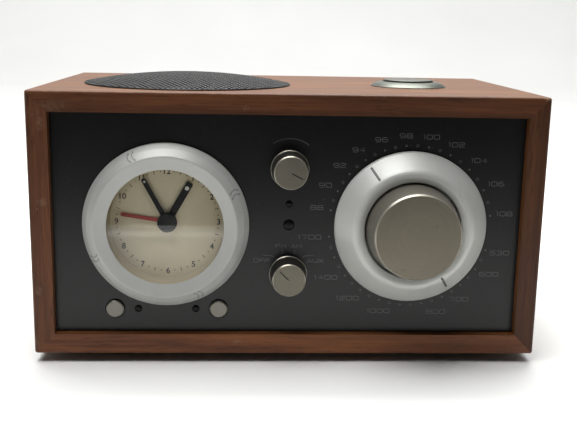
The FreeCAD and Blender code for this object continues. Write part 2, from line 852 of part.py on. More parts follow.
def clock_housing():
    """Fixed cup that holds the lens and the dial, on three posts from the sub-panel."""
    body = new_body("Housing")
    floor = floor_top - 2
    profile = [(3.9, floor), (36, floor), (36, floor_top), (cup_r, floor_top), (cup_r, 4.7)]
    profile += [(lens_r + 0.05, 4.7), (lens_r + 0.05, 3.2), (lens_r - 0.8, 3.2)]
    profile += [(lens_r - 0.8, floor_top), (3.9, floor_top)]
    turn_profile(body, profile)
    posts = []
    for angle in (30, 150, 270):
        x, y = polar(33.4, angle)
        posts.append((x, y, 2.2))
    pad(body, floor_top, sub_back - floor_top, (), posts)
    return on_front(body, "clock_housing", -dial_x, 0)


def clock_lens():
    profile = [(0, 3.2), (lens_r, 3.2), (lens_r, 4.4), (lens_r - 0.3, 4.7), (0, 4.7)]
    return on_front(turned_body("Lens", profile), "clock_lens", -dial_x, 0)


def clock_dial():
    profile = [(3.5, floor_top), (dial_r, floor_top), (dial_r, dial_top), (3.5, dial_top)]
    return on_front(turned_body("Dial", profile), "clock_dial", -dial_x, 0)


def clock_hand(bottom, thickness, outline, boss_r, pipe_outer, pipe_inner, pipe_end):
    """A flat hand with a boss and the arbor that turns it."""
    body = new_body("Hand")
    pad(body, bottom, thickness, (), [(0, 0, boss_r)])
    pad(body, bottom, thickness, [outline])
    pad(body, pipe_end, bottom - pipe_end, (), [(0, 0, pipe_outer)])
    if pipe_inner:
        pocket(body, bottom + thickness, 20, (), [(0, 0, pipe_inner)])
    return body


def bar_outline(half, length, corner):
    """Parallel-sided bar from the axis out, with its end corners taken off in two steps."""
    side = [(half, 0), (half, length - corner), (half - corner * 0.3, length - corner * 0.3)]
    side += [(half - corner, length)]
    return side + [(-x, y) for x, y in reversed(side)]


def alarm_hand():
    outline = bar_outline(0.8, alarm_len, 0.65)
    body = clock_hand(dial_top + 0.3, 0.4, outline, 3.8, 3.3, 2.3, -13)
    return turned_front(body, "alarm_hand", -dial_x, 0, alarm_angle)


def hour_hand():
    outline = bar_outline(1.5, hour_len, 0.7)
    body = clock_hand(dial_top + 1.0, 0.45, outline, 3.6, 2.2, 1.2, -13)
    return turned_front(body, "hour_hand", -dial_x, 0, hour_angle)


def minute_hand():
    outline = bar_outline(1.0, minute_len, 0.75)
    body = clock_hand(dial_top + 1.8, 0.4, outline, 3.6, 1.15, 0, -13.5)
    pad(body, dial_top + 1.8, 1.3, (), [(0, 0, 4.15)])
    return turned_front(body, "minute_hand", -dial_x, 0, minute_angle)


def clock_movement():
    """Sealed quartz movement with a well for the hands' arbors."""
    body = new_body("Movement")
    floor = floor_top - 2
    depth = 13
    corner = 5
    half = 27
    outline = [(-half + corner, -half), (half - corner, -half), (half, -half + corner)]
    outline += [(half, half - corner), (half - corner, half), (-half + corner, half)]
    outline += [(-half, half - corner), (-half, -half + corner)]
    pad(body, floor - depth, depth, [outline])
    pocket(body, floor, 4.4, (), [(0, 0, 3.6)])
    return on_front(body, "clock_movement", -dial_x, 0)


# ---------------------------------------------------------------- speaker and snooze

def dome(radius, height, lift):
    """Points of a shallow dome from its edge to its middle."""
    radius, height, lift = as_size(radius), as_size(height), as_size(lift)
    ball = (radius.number ** 2 + height.number ** 2) / (2 * height.number)
    points = []
    steps = 9
    for i in range(steps):
        share = 1 - i / (steps - 1)
        rise = math.sqrt(ball ** 2 - (radius.number * share) ** 2) - (ball - height.number)
        points.append((radius * round(share, 6), lift + height * round(rise / height.number, 6)))
    return points


def speaker_grille():
    """Domed round grille with a low upright edge on the top board."""
    outside = dome(grille_r, grille_h - grille_edge, grille_edge)
    inside = dome(grille_r - grille_t, grille_h - grille_t - 0.1, 0.1)
    profile = [(grille_r, 0)] + outside + list(reversed(inside)) + [(grille_r - grille_t, 0)]
    return on_top(turned_body("Grille", profile), "speaker_grille", grille_x, grille_y)


flange_top = -rebate_depth + 1.5


def speaker_basket():
    """Pressed basket: flange in the rebate, cone-shaped wall with windows, back plate."""
    body = new_body("Basket")
    wall = 1.2
    profile = [(33.5, -rebate_depth), (rebate_r - 0.3, -rebate_depth), (rebate_r - 0.3, flange_top)]
    profile += [(33.5, flange_top)]
    turn_profile(body, profile)
    seat = -28
    profile = [(33.5, -rebate_depth), (33.5 + wall, -rebate_depth), (33.5 + wall, -10)]
    profile += [(24, seat), (15, seat), (15, seat + wall), (23.4, seat + wall), (33.5, -10)]
    turn_profile(body, profile)
    windows = [rectangle(-7, 17.5, 7, 31), rectangle(-7, -31, 7, -17.5)]
    windows += [rectangle(17.5, -7, 31, 7), rectangle(-31, -7, -17.5, 7)]
    pocket(body, -10.5, 40, windows)
    holes = []
    for angle in (45, 135, 225, 315):
        x, y = polar(speaker_screw_r, angle)
        holes.append((x, y, 1.4))
    pocket(body, flange_top, 1.5, (), holes)
    return on_top(body, "speaker_basket", grille_x, grille_y)


def speaker_magnet():
    """Magnet ring with its plates and pole piece: a round gap holds the voice coil."""
    seat = -28
    profile = [(0, seat - 1), (11.6, seat - 1), (11.6, seat - 11), (13.8, seat - 11), (13.8, seat)]
    profile += [(22.5, seat), (22.5, seat - 13.5), (0, seat - 13.5)]
    return on_top(turned_body("Magnet", profile), "speaker_magnet", grille_x, grille_y)


def voice_coil():
    seat = -28
    profile = [(12.4, seat - 7), (13.0, seat - 7), (13.0, -20.4), (12.4, -20.4)]
    return on_top(turned_body("Coil", profile), "voice_coil", grille_x, grille_y)


def speaker_cone():
    """Paper cone with a dust cap."""
    profile = [(13.0, -23.2), (13.7, -23.2), (29.6, -4.6), (29.6, -3.9), (29.0, -3.9)]
    profile += [(14.6, -20.4), (12.4, -19.4), (8, -17.6), (4, -16.8), (0, -16.6)]
    profile += [(0, -17.2), (4, -17.4), (8, -18.3), (12.4, -20.4), (13.0, -20.4)]
    return on_top(turned_body("Cone", profile), "speaker_cone", grille_x, grille_y)


def speaker_surround():
    """Half-roll rubber surround between the cone and the basket's flange."""
    level = flange_top
    profile = [(29.6, -4.4), (29.6, -3.9), (30.2, level + 0.5), (31.6, level + 1.4)]
    profile += [(33.0, level + 0.6), (33.6, level + 0.5), (36.8, level + 0.5), (36.8, level)]
    profile += [(33.2, level), (32.4, level + 0.2), (31.6, level + 0.7), (30.7, level - 0.2)]
    profile += [(30.2, -4.4)]
    return on_top(turned_body("Surround", profile), "speaker_surround", grille_x, grille_y)


def speaker_spider():
    """Pleated cloth disc that centres the coil."""
    level = -25
    profile = [(13.0, level), (15, level + 0.8), (17, level), (19, level + 0.8), (21, level)]
    profile += [(22.4, level + 0.4), (22.4, level), (21, level - 0.4), (19, level + 0.4)]
    profile += [(17, level - 0.4), (15, level + 0.4), (13.0, level - 0.4)]
    return on_top(turned_body("Spider", profile), "speaker_spider", grille_x, grille_y)


def snooze_trim_ring():
    """Domed ring with a well through the top board; its floor carries a switch."""
    body = new_body("Trim")
    well = snooze_top_r + 0.35
    profile = [(0, -12), (snooze_well_r, -12), (snooze_well_r, 0), (snooze_r, 0)]
    profile += [(snooze_r, 0.3), (snooze_r - 1.6, 1.4), (snooze_r - 3.4, 2.1), (well + 0.5, 2.3)]
    profile += [(well, 2.2), (well, -10.6), (0, -10.6)]
    turn_profile(body, profile)
    return on_top(body, "snooze_trim_ring", snooze_x, snooze_y)


def snooze_button():
    """Round cap with a shadow groove under its rim, a skirt and a stem over its switch."""
    top = snooze_h
    profile = [(0, top), (snooze_top_r - 0.2, top), (snooze_top_r, top - 0.15)]
    profile += [(snooze_top_r, top - 0.5), (snooze_top_r - 0.7, top - 0.6)]
    profile += [(snooze_top_r - 0.7, top - 1.1), (snooze_top_r, top - 1.2)]
    profile += [(snooze_top_r, -5), (snooze_top_r - 1.2, -5)]
    profile += [(snooze_top_r - 1.2, top - 2), (2, top - 2), (2, -6.1), (0, -6.1)]
    return on_top(turned_body("Snooze", profile), "snooze_button", snooze_x, snooze_y)


# ---------------------------------------------------------------- back

slider_half = 5


def jack_centres():
    """Four audio jacks in a row."""
    return [jack_x + jack_pitch * i for i in range(4)]


def rear_panel():
    """Moulded back: holes for the sockets, slot of the switch and window of the battery tray."""
    outline = centred(inner_w - fit_gap * 2, inner_h - fit_gap * 2)
    body = new_body("Back")
    holes = [(-antenna_x, antenna_z - mid_z, 4.8), (-dc_x, dc_z - mid_z, 4.05)]
    for x in jack_centres():
        holes.append((-x, jack_z - mid_z, 3.05))
    for side, up in CORNERS:
        holes.append((-rear_screw_x * side, rear_screw_z * up, 1.4))
    windows = [centred(slider_half * 2, 4, -slider_x, antenna_z - mid_z)]
    windows.append(centred(21, 13, -ac_x, ac_z - mid_z))
    windows.append(centred(door_w - 4, door_h - 4, -door_x, door_z - mid_z))
    pad(body, -back_t, back_t, [outline] + windows, holes)
    pocket(body, 0, 1.6, [centred(door_w, door_h, -door_x, door_z - mid_z)])
    slider_level = antenna_z - mid_z
    for side in (-1, 1):
        rail = centred(24, 1.4, -slider_x, slider_level + 4.5 * side)
        lip = centred(24, 2.6, -slider_x, slider_level + 3.9 * side)
        pad(body, -back_t - 3.4, 3.4, [rail])
        pad(body, -back_t - 3.4, 1.2, [lip])
    return on_back(body, "rear_panel", 0, mid_z)


def battery_tray():
    """Open box fixed behind the window: four walls and a floor."""
    body = new_body("Tray")
    inner = centred(door_w - 4, door_h - 4)
    outer = centred(door_w, door_h)
    pad(body, -bay_d, bay_d - back_t, [outer, inner])
    pad(body, -bay_d - 1.6, 1.6, [outer])
    return on_back(body, "battery_tray", door_x, door_z)


def battery_door():
    """Cover that fills the bay's step, with a finger tab."""
    body = new_body("Door")
    pad(body, -1.5, 1.5, [centred(door_w - 0.5, door_h - 0.5)])
    pad(body, -5, 3.5, [rectangle(-8, door_h / 2 - 3.6, 8, door_h / 2 - 2.4)])
    for i in range(3):
        pad(body, 0, 0.6, [centred(14, 0.8, 0, door_h / 2 - 3 - 1.8 * i)])
    return on_back(body, "battery_door", door_x, door_z)


def battery():
    """One round cell lying across the bay."""
    body = new_body("Cell")
    profile = [(0, -24.7), (7.1, -24.7), (7.1, 24), (2.75, 24), (2.75, 25.4), (0, 25.4)]
    turn_profile(body, profile)
    turn = FreeCAD.Rotation(V(0, 1, 0), 90)
    middle = back_face_y - bay_d + 7.4
    return place(body, "battery", door_x, middle, door_z - 1, turn)


def audio_jacks():
    """Round-nosed jack sockets with square bodies inside."""
    parts = []
    for x in jack_centres():
        body = new_body("Jack")
        pad(body, -back_t - 11, 11, [centred(9, 11)])
        pad(body, -back_t, back_t + 1.2, (), [(0, 0, 3)])
        pocket(body, 1.2, 13, (), [(0, 0, jack_r)])
        parts.append(place(body, "jack", -x, 0, 0))
    return on_back(together(parts), "audio_jacks", 0, jack_z)


def antenna_socket():
    """Threaded coaxial socket with a hexagon nut and a centre contact."""
    body = new_body("Aerial")
    end = rear_proj + back_in
    nut = [polar(6.4, 60 * i) for i in range(6)]
    pad(body, 0, 2.2, [nut])
    pad(body, -back_t - 8, back_t + 8 + end, (), [(0, 0, 4.76)])
    pad(body, -back_t - 2, 2, (), [(0, 0, 6.6)])
    pocket(body, end, 7, (), [(0, 0, 3.6)])
    pad(body, end - 7, 5, (), [(0, 0, 0.6)])
    return on_back(body, "antenna_socket", antenna_x, antenna_z)


def antenna_slider():
    """Two-way slide switch: a ribbed nib on a carriage behind the panel."""
    body = new_body("Slider")
    pad(body, -back_t - 1.8, 1.5, [centred(13.5, 7)])
    pad(body, -back_t - 0.3, back_t + 1.9, [centred(5, 3.4)])
    for i in range(3):
        pocket(body, 1.6, 0.4, [centred(0.5, 5, (i - 1) * 1.4, 0)])
    return on_back(body, "antenna_slider", slider_x + 2, antenna_z)


def dc_socket():
    """Barrel socket for a low-voltage supply, with its centre pin."""
    body = new_body("Barrel")
    pad(body, -back_t - 10, 10, [centred(10, 11)])
    pad(body, -back_t, back_t + 0.8, (), [(0, 0, 4)])
    pocket(body, 0.8, 10, (), [(0, 0, 2.8)])
    pad(body, -9.2, 8.6, (), [(0, 0, 1.05)])
    return on_back(body, "dc_socket", dc_x, dc_z)


def ac_inlet():
    """Two-pin mains inlet with a rounded recess and a flange outside the panel."""
    body = new_body("Inlet")
    pad(body, 0, 1.4, [centred(25, 16)])
    pad(body, -17, 17, [centred(20.6, 12.6)])
    pocket(body, 1.4, 15.5, [centred(8, 9)], ())
    pocket(body, 1.4, 15.5, (), [(-4, 0, 4.5)])
    pocket(body, 1.4, 15.5, (), [(4, 0, 4.5)])
    pad(body, -14.1, 11.5, (), [(-4.3, 0, 1.2), (4.3, 0, 1.2)])
    return on_back(body, "ac_inlet", ac_x, ac_z)


# ---------------------------------------------------------------- inside

def main_board():
    """Receiver board on four pillars from the bottom board."""
    body = new_body("Main")
    pad(body, 0, 1.6, [rectangle(0, -40, 88, 44)])
    pillars = [(4, -36, 2.2), (84, -36, 2.2), (4, 40, 2.2), (84, 40, 2.2)]
    pad(body, -6, 6, (), pillars)
    pad(body, 1.6, 9, [rectangle(12, -20, 30, -8), rectangle(46, 6, 58, 18)])
    pad(body, 1.6, 13, (), [(20, 10, 5), (36, 24, 4), (70, 26, 6)])
    pad(body, 1.6, 3, [rectangle(52, -30, 74, -12)])
    return place(body, "main_board", 6, 5, floor_z + 6)


def transformer_core():
    """Laminated core on its foot plate, with two windows for the winding."""
    body = new_body("Core")
    windows = [centred(7.5, 22, -10.5, 0), centred(7.5, 22, 10.5, 0)]
    pad(body, -9, 18, [centred(42, 36)] + windows)
    return place(body, "transformer_core", -66, 6, floor_z + 18, FRONT)


def transformer_winding():
    body = new_body("Winding")
    outer = centred(27.6, 37)
    middle = centred(13.7, 18.4)
    pad(body, -10.7, 21.4, [outer, middle])
    return place(body, "transformer_winding", -66, 6, floor_z + 18)


def ferrite_rod():
    """Medium-wave aerial: a rod with a coil, held by two clips under the top board."""
    body = turned_body("Ferrite", [(0, -45), (4.5, -45), (4.5, 45), (0, 45)])
    turn_profile(body, [(4.5, -40), (5.6, -40), (5.6, -18), (4.5, -18)])
    pad(body, 20, 4, [rectangle(-6.5, -6.5, 20, 6.5)])
    pad(body, -12, 4, [rectangle(-6.5, -6.5, 20, 6.5)])
    turn = FreeCAD.Rotation(V(0, 1, 0), -90)
    return place(body, "ferrite_rod", 48, 50, roof_z - 20, turn)


# ---------------------------------------------------------------- build and export

def side_boards():
    return [cabinet_board("left_side"), cabinet_board("right_side")]


MAKERS = [
    cabinet_top, cabinet_bottom, corner_blocks, rubber_feet, bass_port_tube, wood_screws,
    front_panel, front_subpanel, control_board, panel_lamps, clock_leds,
    volume_knob, volume_shaft, volume_pot, selector_knob, selector_shaft, selector_switch,
    alarm_button, sleep_button, tact_switches, tuning_dial_ring, drive_balls, tuning_knob,
    tuning_shaft, ball_race, capacitor_frame, capacitor_stator, capacitor_rotor,
    clock_bezel, clock_housing, clock_lens, clock_dial, alarm_hand, hour_hand, minute_hand,
    clock_movement, speaker_grille, speaker_basket, speaker_magnet, voice_coil, speaker_cone,
    speaker_surround, speaker_spider, snooze_trim_ring, snooze_button, rear_panel,
    battery_tray, battery_door, battery, audio_jacks, antenna_socket, antenna_slider, dc_socket, ac_inlet,
    main_board, transformer_core, transformer_winding, ferrite_rod,
]
finished = side_boards() + [maker() for maker in MAKERS]
doc.recompute()

for thing in doc.Objects:
    state = " ".join(thing.State)
    if "Invalid" in state or "Error" in state:
        raise RuntimeError("%s (%s) did not compute: %s" % (thing.Label, thing.Name, state))

os.makedirs("parts", exist_ok=True)
for thing in finished:
    shape = thing.Shape
    if shape.isNull() or not shape.isValid():
        raise RuntimeError("%s has no valid shape" % thing.Label)
    shape.exportStep("parts/%s.step" % thing.Label)
    print(thing.Label, len(shape.Solids), round(shape.Volume, 1))
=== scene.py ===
import json
import math

import bmesh
import bpy
from mathutils import Matrix, Vector
from mathutils.bvhtree import BVHTree


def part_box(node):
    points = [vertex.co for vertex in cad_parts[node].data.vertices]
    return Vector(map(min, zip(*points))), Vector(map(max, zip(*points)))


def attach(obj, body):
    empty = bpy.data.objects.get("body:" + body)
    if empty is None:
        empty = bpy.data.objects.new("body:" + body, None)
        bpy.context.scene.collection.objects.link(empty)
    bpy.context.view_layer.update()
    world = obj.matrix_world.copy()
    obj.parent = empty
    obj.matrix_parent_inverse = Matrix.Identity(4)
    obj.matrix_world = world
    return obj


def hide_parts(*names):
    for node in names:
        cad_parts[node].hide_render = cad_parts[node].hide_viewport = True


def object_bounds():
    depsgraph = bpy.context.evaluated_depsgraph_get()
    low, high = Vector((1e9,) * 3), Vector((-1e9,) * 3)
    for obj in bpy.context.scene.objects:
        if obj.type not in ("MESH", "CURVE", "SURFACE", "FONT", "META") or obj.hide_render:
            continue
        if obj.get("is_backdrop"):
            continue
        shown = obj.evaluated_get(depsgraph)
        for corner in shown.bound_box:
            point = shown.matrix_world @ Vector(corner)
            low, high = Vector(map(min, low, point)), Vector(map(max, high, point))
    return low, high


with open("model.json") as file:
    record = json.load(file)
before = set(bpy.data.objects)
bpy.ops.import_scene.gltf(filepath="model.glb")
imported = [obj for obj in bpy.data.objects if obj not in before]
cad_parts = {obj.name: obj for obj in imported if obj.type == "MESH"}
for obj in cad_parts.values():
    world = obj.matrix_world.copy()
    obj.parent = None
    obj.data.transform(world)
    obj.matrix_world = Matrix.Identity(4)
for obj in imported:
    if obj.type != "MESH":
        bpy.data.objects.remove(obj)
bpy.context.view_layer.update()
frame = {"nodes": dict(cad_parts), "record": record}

MM = 0.001
nodes = frame["nodes"]


# ------------------------------------------------------------------ places

def middle(node):
    """The middle of a CAD node's box."""
    low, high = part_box(node)
    return (low + high) / 2


CLOCK = middle("clock_bezel")
DIAL = middle("tuning_dial_ring")
VOLUME = middle("volume_knob")
SELECTOR = middle("selector_knob")
PANEL_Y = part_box("front_panel")[0].y
TOP_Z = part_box("cabinet_top")[1].z
trees = {}


def tree(node):
    """A search tree over a CAD node's faces, made once."""
    if node not in trees:
        mesh = nodes[node].data
        points = [v.co.copy() for v in mesh.vertices]
        trees[node] = BVHTree.FromPolygons(points, [list(p.vertices) for p in mesh.polygons])
    return trees[node]


def front_of(node, x, z):
    """Where a line from the listener meets the node: its y at that x and z."""
    hit = tree(node).ray_cast(Vector((x, -1, z)), Vector((0, 1, 0)))
    return hit[0].y if hit[0] else PANEL_Y


# ------------------------------------------------------------------ materials

def srgb(text):
    """Linear colour of a hex triple."""
    out = []
    for i in (0, 2, 4):
        c = int(text[i:i + 2], 16) / 255
        out.append(c / 12.92 if c <= 0.04045 else ((c + 0.055) / 1.055) ** 2.4)
    return (*out, 1.0)


class Look:
    """A material under construction: a few short words for its nodes."""

    def __init__(self, name, rough=0.5, metal=0.0, **sockets):
        self.m = bpy.data.materials.new(name)
        self.m.use_nodes = True
        self.t = self.m.node_tree
        self.b = self.t.nodes["Principled BSDF"]
        self.set("Roughness", rough)
        self.set("Metallic", metal)
        for key, value in sockets.items():
            self.set(key.replace("_", " "), value)
        self.place = self.t.nodes.new("ShaderNodeTexCoord").outputs["Object"]

    def set(self, socket, value):
        target = self.b.inputs[socket]
        if isinstance(value, bpy.types.NodeSocket):
            self.t.links.new(value, target)
        else:
            target.default_value = value

    def link(self, value, socket):
        if isinstance(value, bpy.types.NodeSocket):
            self.t.links.new(value, socket)
        else:
            socket.default_value = value

    def moved(self, scale=(1, 1, 1), shift=(0, 0, 0), turn=(0, 0, 0)):
        n = self.t.nodes.new("ShaderNodeMapping")
        n.inputs["Scale"].default_value = scale
        n.inputs["Location"].default_value = shift
        n.inputs["Rotation"].default_value = turn
        self.t.links.new(self.place, n.inputs["Vector"])
        return n.outputs["Vector"]

    def noise(self, scale, detail=3.0, rough=0.5, vector=None, bend=0.0):
        n = self.t.nodes.new("ShaderNodeTexNoise")
        n.inputs["Scale"].default_value = scale
        n.inputs["Detail"].default_value = detail
        n.inputs["Roughness"].default_value = rough
        n.inputs["Distortion"].default_value = bend
        self.t.links.new(vector or self.place, n.inputs["Vector"])
        return n.outputs["Fac"]

    def voronoi(self, scale, vector=None, feature="F1"):
        n = self.t.nodes.new("ShaderNodeTexVoronoi")
        n.feature = feature
        n.inputs["Scale"].default_value = scale
        self.t.links.new(vector or self.place, n.inputs["Vector"])
        return n.outputs["Distance"]

    def ramp(self, value, *stops):
        n = self.t.nodes.new("ShaderNodeValToRGB")
        ramp = n.color_ramp
        while len(ramp.elements) < len(stops):
            ramp.elements.new(0.5)
        for element, (at, colour) in zip(ramp.elements, stops):
            element.position = at
            if isinstance(colour, (int, float)):
                colour = (colour, colour, colour, 1)
            element.color = colour
        self.link(value, n.inputs["Fac"])
        return n.outputs["Color"]

    def math(self, kind, a, b=0.0, c=0.0):
        n = self.t.nodes.new("ShaderNodeMath")
        n.operation = kind
        for value, socket in zip((a, b, c), n.inputs):
            self.link(value, socket)
        return n.outputs[0]

    def mix(self, share, a, b, blend="MIX"):
        n = self.t.nodes.new("ShaderNodeMix")
        n.data_type = "RGBA"
        n.blend_type = blend
        self.link(share, n.inputs[0])
        self.link(a, n.inputs[6])
        self.link(b, n.inputs[7])
        return n.outputs[2]

    def split(self, vector=None):
        n = self.t.nodes.new("ShaderNodeSeparateXYZ")
        self.t.links.new(vector or self.place, n.inputs[0])
        return n.outputs

    def patch(self, x, z, place_x, place_z, width, height):
        """One inside a soft ellipse given in mm, nought outside it."""
        across = self.math("MULTIPLY", self.math("SUBTRACT", x, place_x * MM), 2 / (width * MM))
        along = self.math("MULTIPLY", self.math("SUBTRACT", z, place_z * MM), 2 / (height * MM))
        square = self.math("ADD", self.math("MULTIPLY", across, across), self.math("MULTIPLY", along, along))
        return self.ramp(square, (0.15, 1.0), (1.0, 0.0))

    def bump(self, height, strength=0.3, depth=0.1 * MM):
        n = self.t.nodes.new("ShaderNodeBump")
        n.inputs["Strength"].default_value = strength
        n.inputs["Distance"].default_value = depth
        self.t.links.new(height, n.inputs["Height"])
        self.t.links.new(n.outputs["Normal"], self.b.inputs["Normal"])


def plain(name, colour, rough=0.5, metal=0.0, grit=400, vary=0.12, bump=0.15, **sockets):
    """Moulded, painted or cast surface: mottled colour, uneven gloss and a fine grit."""
    k = Look(name, rough, metal, **sockets)
    cloud = k.noise(60, 4, 0.6)
    fine = k.noise(grit * 6, 2, 0.5)
    dark = tuple(c * (1 - vary) for c in colour[:3]) + (1,)
    light = tuple(min(1, c * (1 + vary)) for c in colour[:3]) + (1,)
    k.set("Base Color", k.ramp(k.math("ADD", k.math("MULTIPLY", cloud, 0.6), k.math("MULTIPLY", fine, 0.4)),
                               (0.3, dark), (0.7, light)))
    k.set("Roughness", k.math("ADD", rough - 0.06, k.math("MULTIPLY", cloud, 0.12)))
    k.bump(fine, bump, 0.03 * MM)
    return k.m


def wood(name, grain, face=1.0, strip=1.0, scuffs=()):
    """Oiled reddish veneer with its grain along one axis; face and strip paint light and shade,
    setting how much paler or darker its broad faces and its front edge strip are. Scuffs are (x, z, width,
    height, amount)."""
    k = Look(name, 0.5, Coat_Weight=0.04, Coat_Roughness=0.3, Specular_IOR_Level=0.25)
    stretch = {"x": lambda long, fine: (long, fine, fine), "z": lambda long, fine: (fine, fine, long)}[grain]
    broad = k.noise(1, 3, 0.55, k.moved(stretch(4, 30)), 0.7)
    mid = k.noise(1, 5, 0.65, k.moved(stretch(9, 150), (3, 1, 7)), 0.25)
    fibre = k.noise(1, 6, 0.7, k.moved(stretch(26, 900), (1, 5, 2)))
    pore = k.noise(1, 2, 0.5, k.moved(stretch(110, 2200), (9, 2, 4)))
    tone = k.math("ADD", k.math("MULTIPLY", broad, 0.3), k.math("MULTIPLY", mid, 0.4))
    tone = k.math("ADD", tone, k.math("MULTIPLY", fibre, 0.3))
    colour = k.ramp(tone, (0.32, srgb("3b2112")), (0.47, srgb("5b351f")),
                    (0.57, srgb("704325")), (0.74, srgb("8b5932")))
    pores = k.ramp(pore, (0.58, 1.0), (0.68, 0.45))
    colour = k.mix(0.75, colour, pores, "MULTIPLY")
    # painted light and shade: broad faces and the front edge strip are made paler or darker by which way
    # they face
    normal = k.t.nodes.new("ShaderNodeTexCoord").outputs["Normal"]
    painted_face_light, painted_strip_light = (face, face * 1.08, face * 0.94, 1), (strip, strip, strip, 1)
    ahead = k.ramp(k.math("MULTIPLY", k.split(normal)[1], -1.0), (0.55, painted_face_light), (0.8, painted_strip_light))
    colour = k.mix(1.0, colour, ahead, "MULTIPLY")
    # light scuffs, and bare wood along the arrises
    speck = k.ramp(k.noise(260, 1, 0.4, k.moved(shift=(0.3, 0.1, 0.2))), (0.80, 0.0), (0.83, 1.0))
    colour = k.mix(k.math("MULTIPLY", speck, 0.4), colour, srgb("a98a70"))
    x, y, z = k.split()
    streak = k.ramp(k.noise(1, 3, 0.7, k.moved((700, 700, 700), (4, 2, 6))), (0.4, 0.0), (0.66, 1.0))
    from_y = k.math("SUBTRACT", y, PANEL_Y - 4 * MM)
    front = k.math("MAXIMUM", k.math("MULTIPLY_ADD", from_y, -1 / (5 * MM), 1.0), 0.0)
    for place_x, place_z, width, height, amount in scuffs:
        rub = k.math("MULTIPLY", k.patch(x, z, place_x, place_z, width, height), streak)
        rub = k.math("MULTIPLY", k.math("MULTIPLY", rub, front), amount)
        colour = k.mix(rub, colour, srgb("b8a792"))
    low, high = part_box("cabinet_left_side")[0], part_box("cabinet_right_side")[1]
    half_x, half_z = high.x, (TOP_Z - low.z) / 2
    from_x = k.math("SUBTRACT", half_x, k.math("ABSOLUTE", x))
    from_z = k.math("SUBTRACT", half_z, k.math("ABSOLUTE", k.math("SUBTRACT", z, TOP_Z - half_z)))
    long_edge = k.math("MAXIMUM", from_x, from_z)
    front_edge = k.math("MAXIMUM", k.math("MINIMUM", from_x, from_z), from_y)
    arris = k.math("MINIMUM", long_edge, front_edge)
    wear_noise = k.noise(90, 4, 0.7, k.moved(shift=(1.3, 0.4, 0)))
    near = k.math("MULTIPLY_ADD", arris, -1 / (1.1 * MM), 1.0)
    wear = k.math("MULTIPLY", k.math("MAXIMUM", near, 0.0), k.ramp(wear_noise, (0.5, 0.0), (0.66, 1.0)))
    colour = k.mix(k.math("MULTIPLY", wear, 0.35), colour, srgb("9a7458"))
    k.set("Base Color", colour)
    k.set("Roughness", k.math("ADD", 0.36, k.math("MULTIPLY", fibre, 0.22)))
    height = k.math("SUBTRACT", k.math("MULTIPLY", fibre, 0.4), k.math("MULTIPLY", pore, 0.6))
    k.bump(height, 0.35, 0.12 * MM)
    return k.m


def turned_metal(name, centre, colour, side_shade_colour, chips=(), rough=0.38, metal=0.85):
    """Lathe-turned metal: fine rings about an axis that runs front to back."""
    k = Look(name, rough, metal)
    x, y, z = k.split(k.moved(shift=(-centre.x, -centre.y, -centre.z)))
    square = k.math("ADD", k.math("MULTIPLY", x, x), k.math("MULTIPLY", z, z))
    radius = k.math("SQRT", square)
    join = k.t.nodes.new("ShaderNodeCombineXYZ")
    k.link(k.math("MULTIPLY", radius, 5200), join.inputs[0])
    k.link(k.math("MULTIPLY", y, 2600), join.inputs[1])
    k.link(k.math("MULTIPLY", k.math("ARCTAN2", z, x), 0.8), join.inputs[2])
    rings = k.noise(1, 3, 0.6, join.outputs[0])
    smear = k.noise(45, 4, 0.6)
    dark = tuple(c * 0.86 for c in colour[:3]) + (1,)
    light = tuple(min(1, c * 1.12) for c in colour[:3]) + (1,)
    blend = k.math("ADD", k.math("MULTIPLY", rings, 0.5), k.math("MULTIPLY", smear, 0.5))
    tone = k.ramp(blend, (0.32, dark), (0.68, light))
    # satin face, a painted highlight on the polished chamfer, and a duller side painted dark as painted
    # shade
    normal = k.t.nodes.new("ShaderNodeTexCoord").outputs["Normal"]
    facing = k.math("ABSOLUTE", k.split(normal)[1])
    chamfer_highlight = k.ramp(facing, (0.12, 0.0), (0.35, 1.0), (0.93, 1.0), (0.985, 0.0))
    side = k.ramp(facing, (0.1, 1.0), (0.3, 0.0))
    nick = k.ramp(k.noise(420, 2, 0.5, k.moved(shift=(0.21, 0.4, 0.13))), (0.74, 0.0), (0.78, 1.0))
    tone = k.mix(side, tone, side_shade_colour)
    tone = k.mix(k.math("MULTIPLY", chamfer_highlight, 0.62), tone, srgb("bcb8ab"))
    grain = k.ramp(k.noise(2200, 2, 0.6), (0.42, 0.25), (0.6, 1.0))
    for chip in chips:
        nick = k.math("MAXIMUM", nick, k.math("MULTIPLY", k.patch(x, z, *chip), grain))
    k.set("Base Color", k.mix(k.math("MULTIPLY", nick, 0.45), tone, srgb("3a372f")))
    k.set("Metallic", k.math("SUBTRACT", metal, k.math("MULTIPLY", side, 0.55)))
    k.set("Roughness", k.math("ADD", rough - 0.05, k.math("MULTIPLY", smear, 0.12)))
    k.bump(rings, 0.25, 0.02 * MM)
    return k.m


def charcoal():
    """Satin charcoal paint with a fine orange-peel skin and a little dust."""
    k = Look("charcoal_paint", 0.36, Specular_IOR_Level=0.38)
    cloud = k.noise(18, 3, 0.5)
    fine = k.noise(2600, 2, 0.6)
    base = k.ramp(k.math("ADD", k.math("MULTIPLY", cloud, 0.5), k.math("MULTIPLY", fine, 0.5)),
                  (0.35, srgb("060707")), (0.65, srgb("0b0c0c")))
    dust = k.ramp(k.noise(1500, 0, 0.3, k.moved(shift=(0.2, 0.7, 0.1))), (0.79, 0.0), (0.81, 1.0))
    k.set("Base Color", k.mix(k.math("MULTIPLY", dust, 0.22), base, srgb("6d6e6b")))
    k.set("Roughness", k.math("ADD", 0.26, k.math("MULTIPLY", cloud, 0.1)))
    k.bump(fine, 0.12, 0.02 * MM)
    return k.m


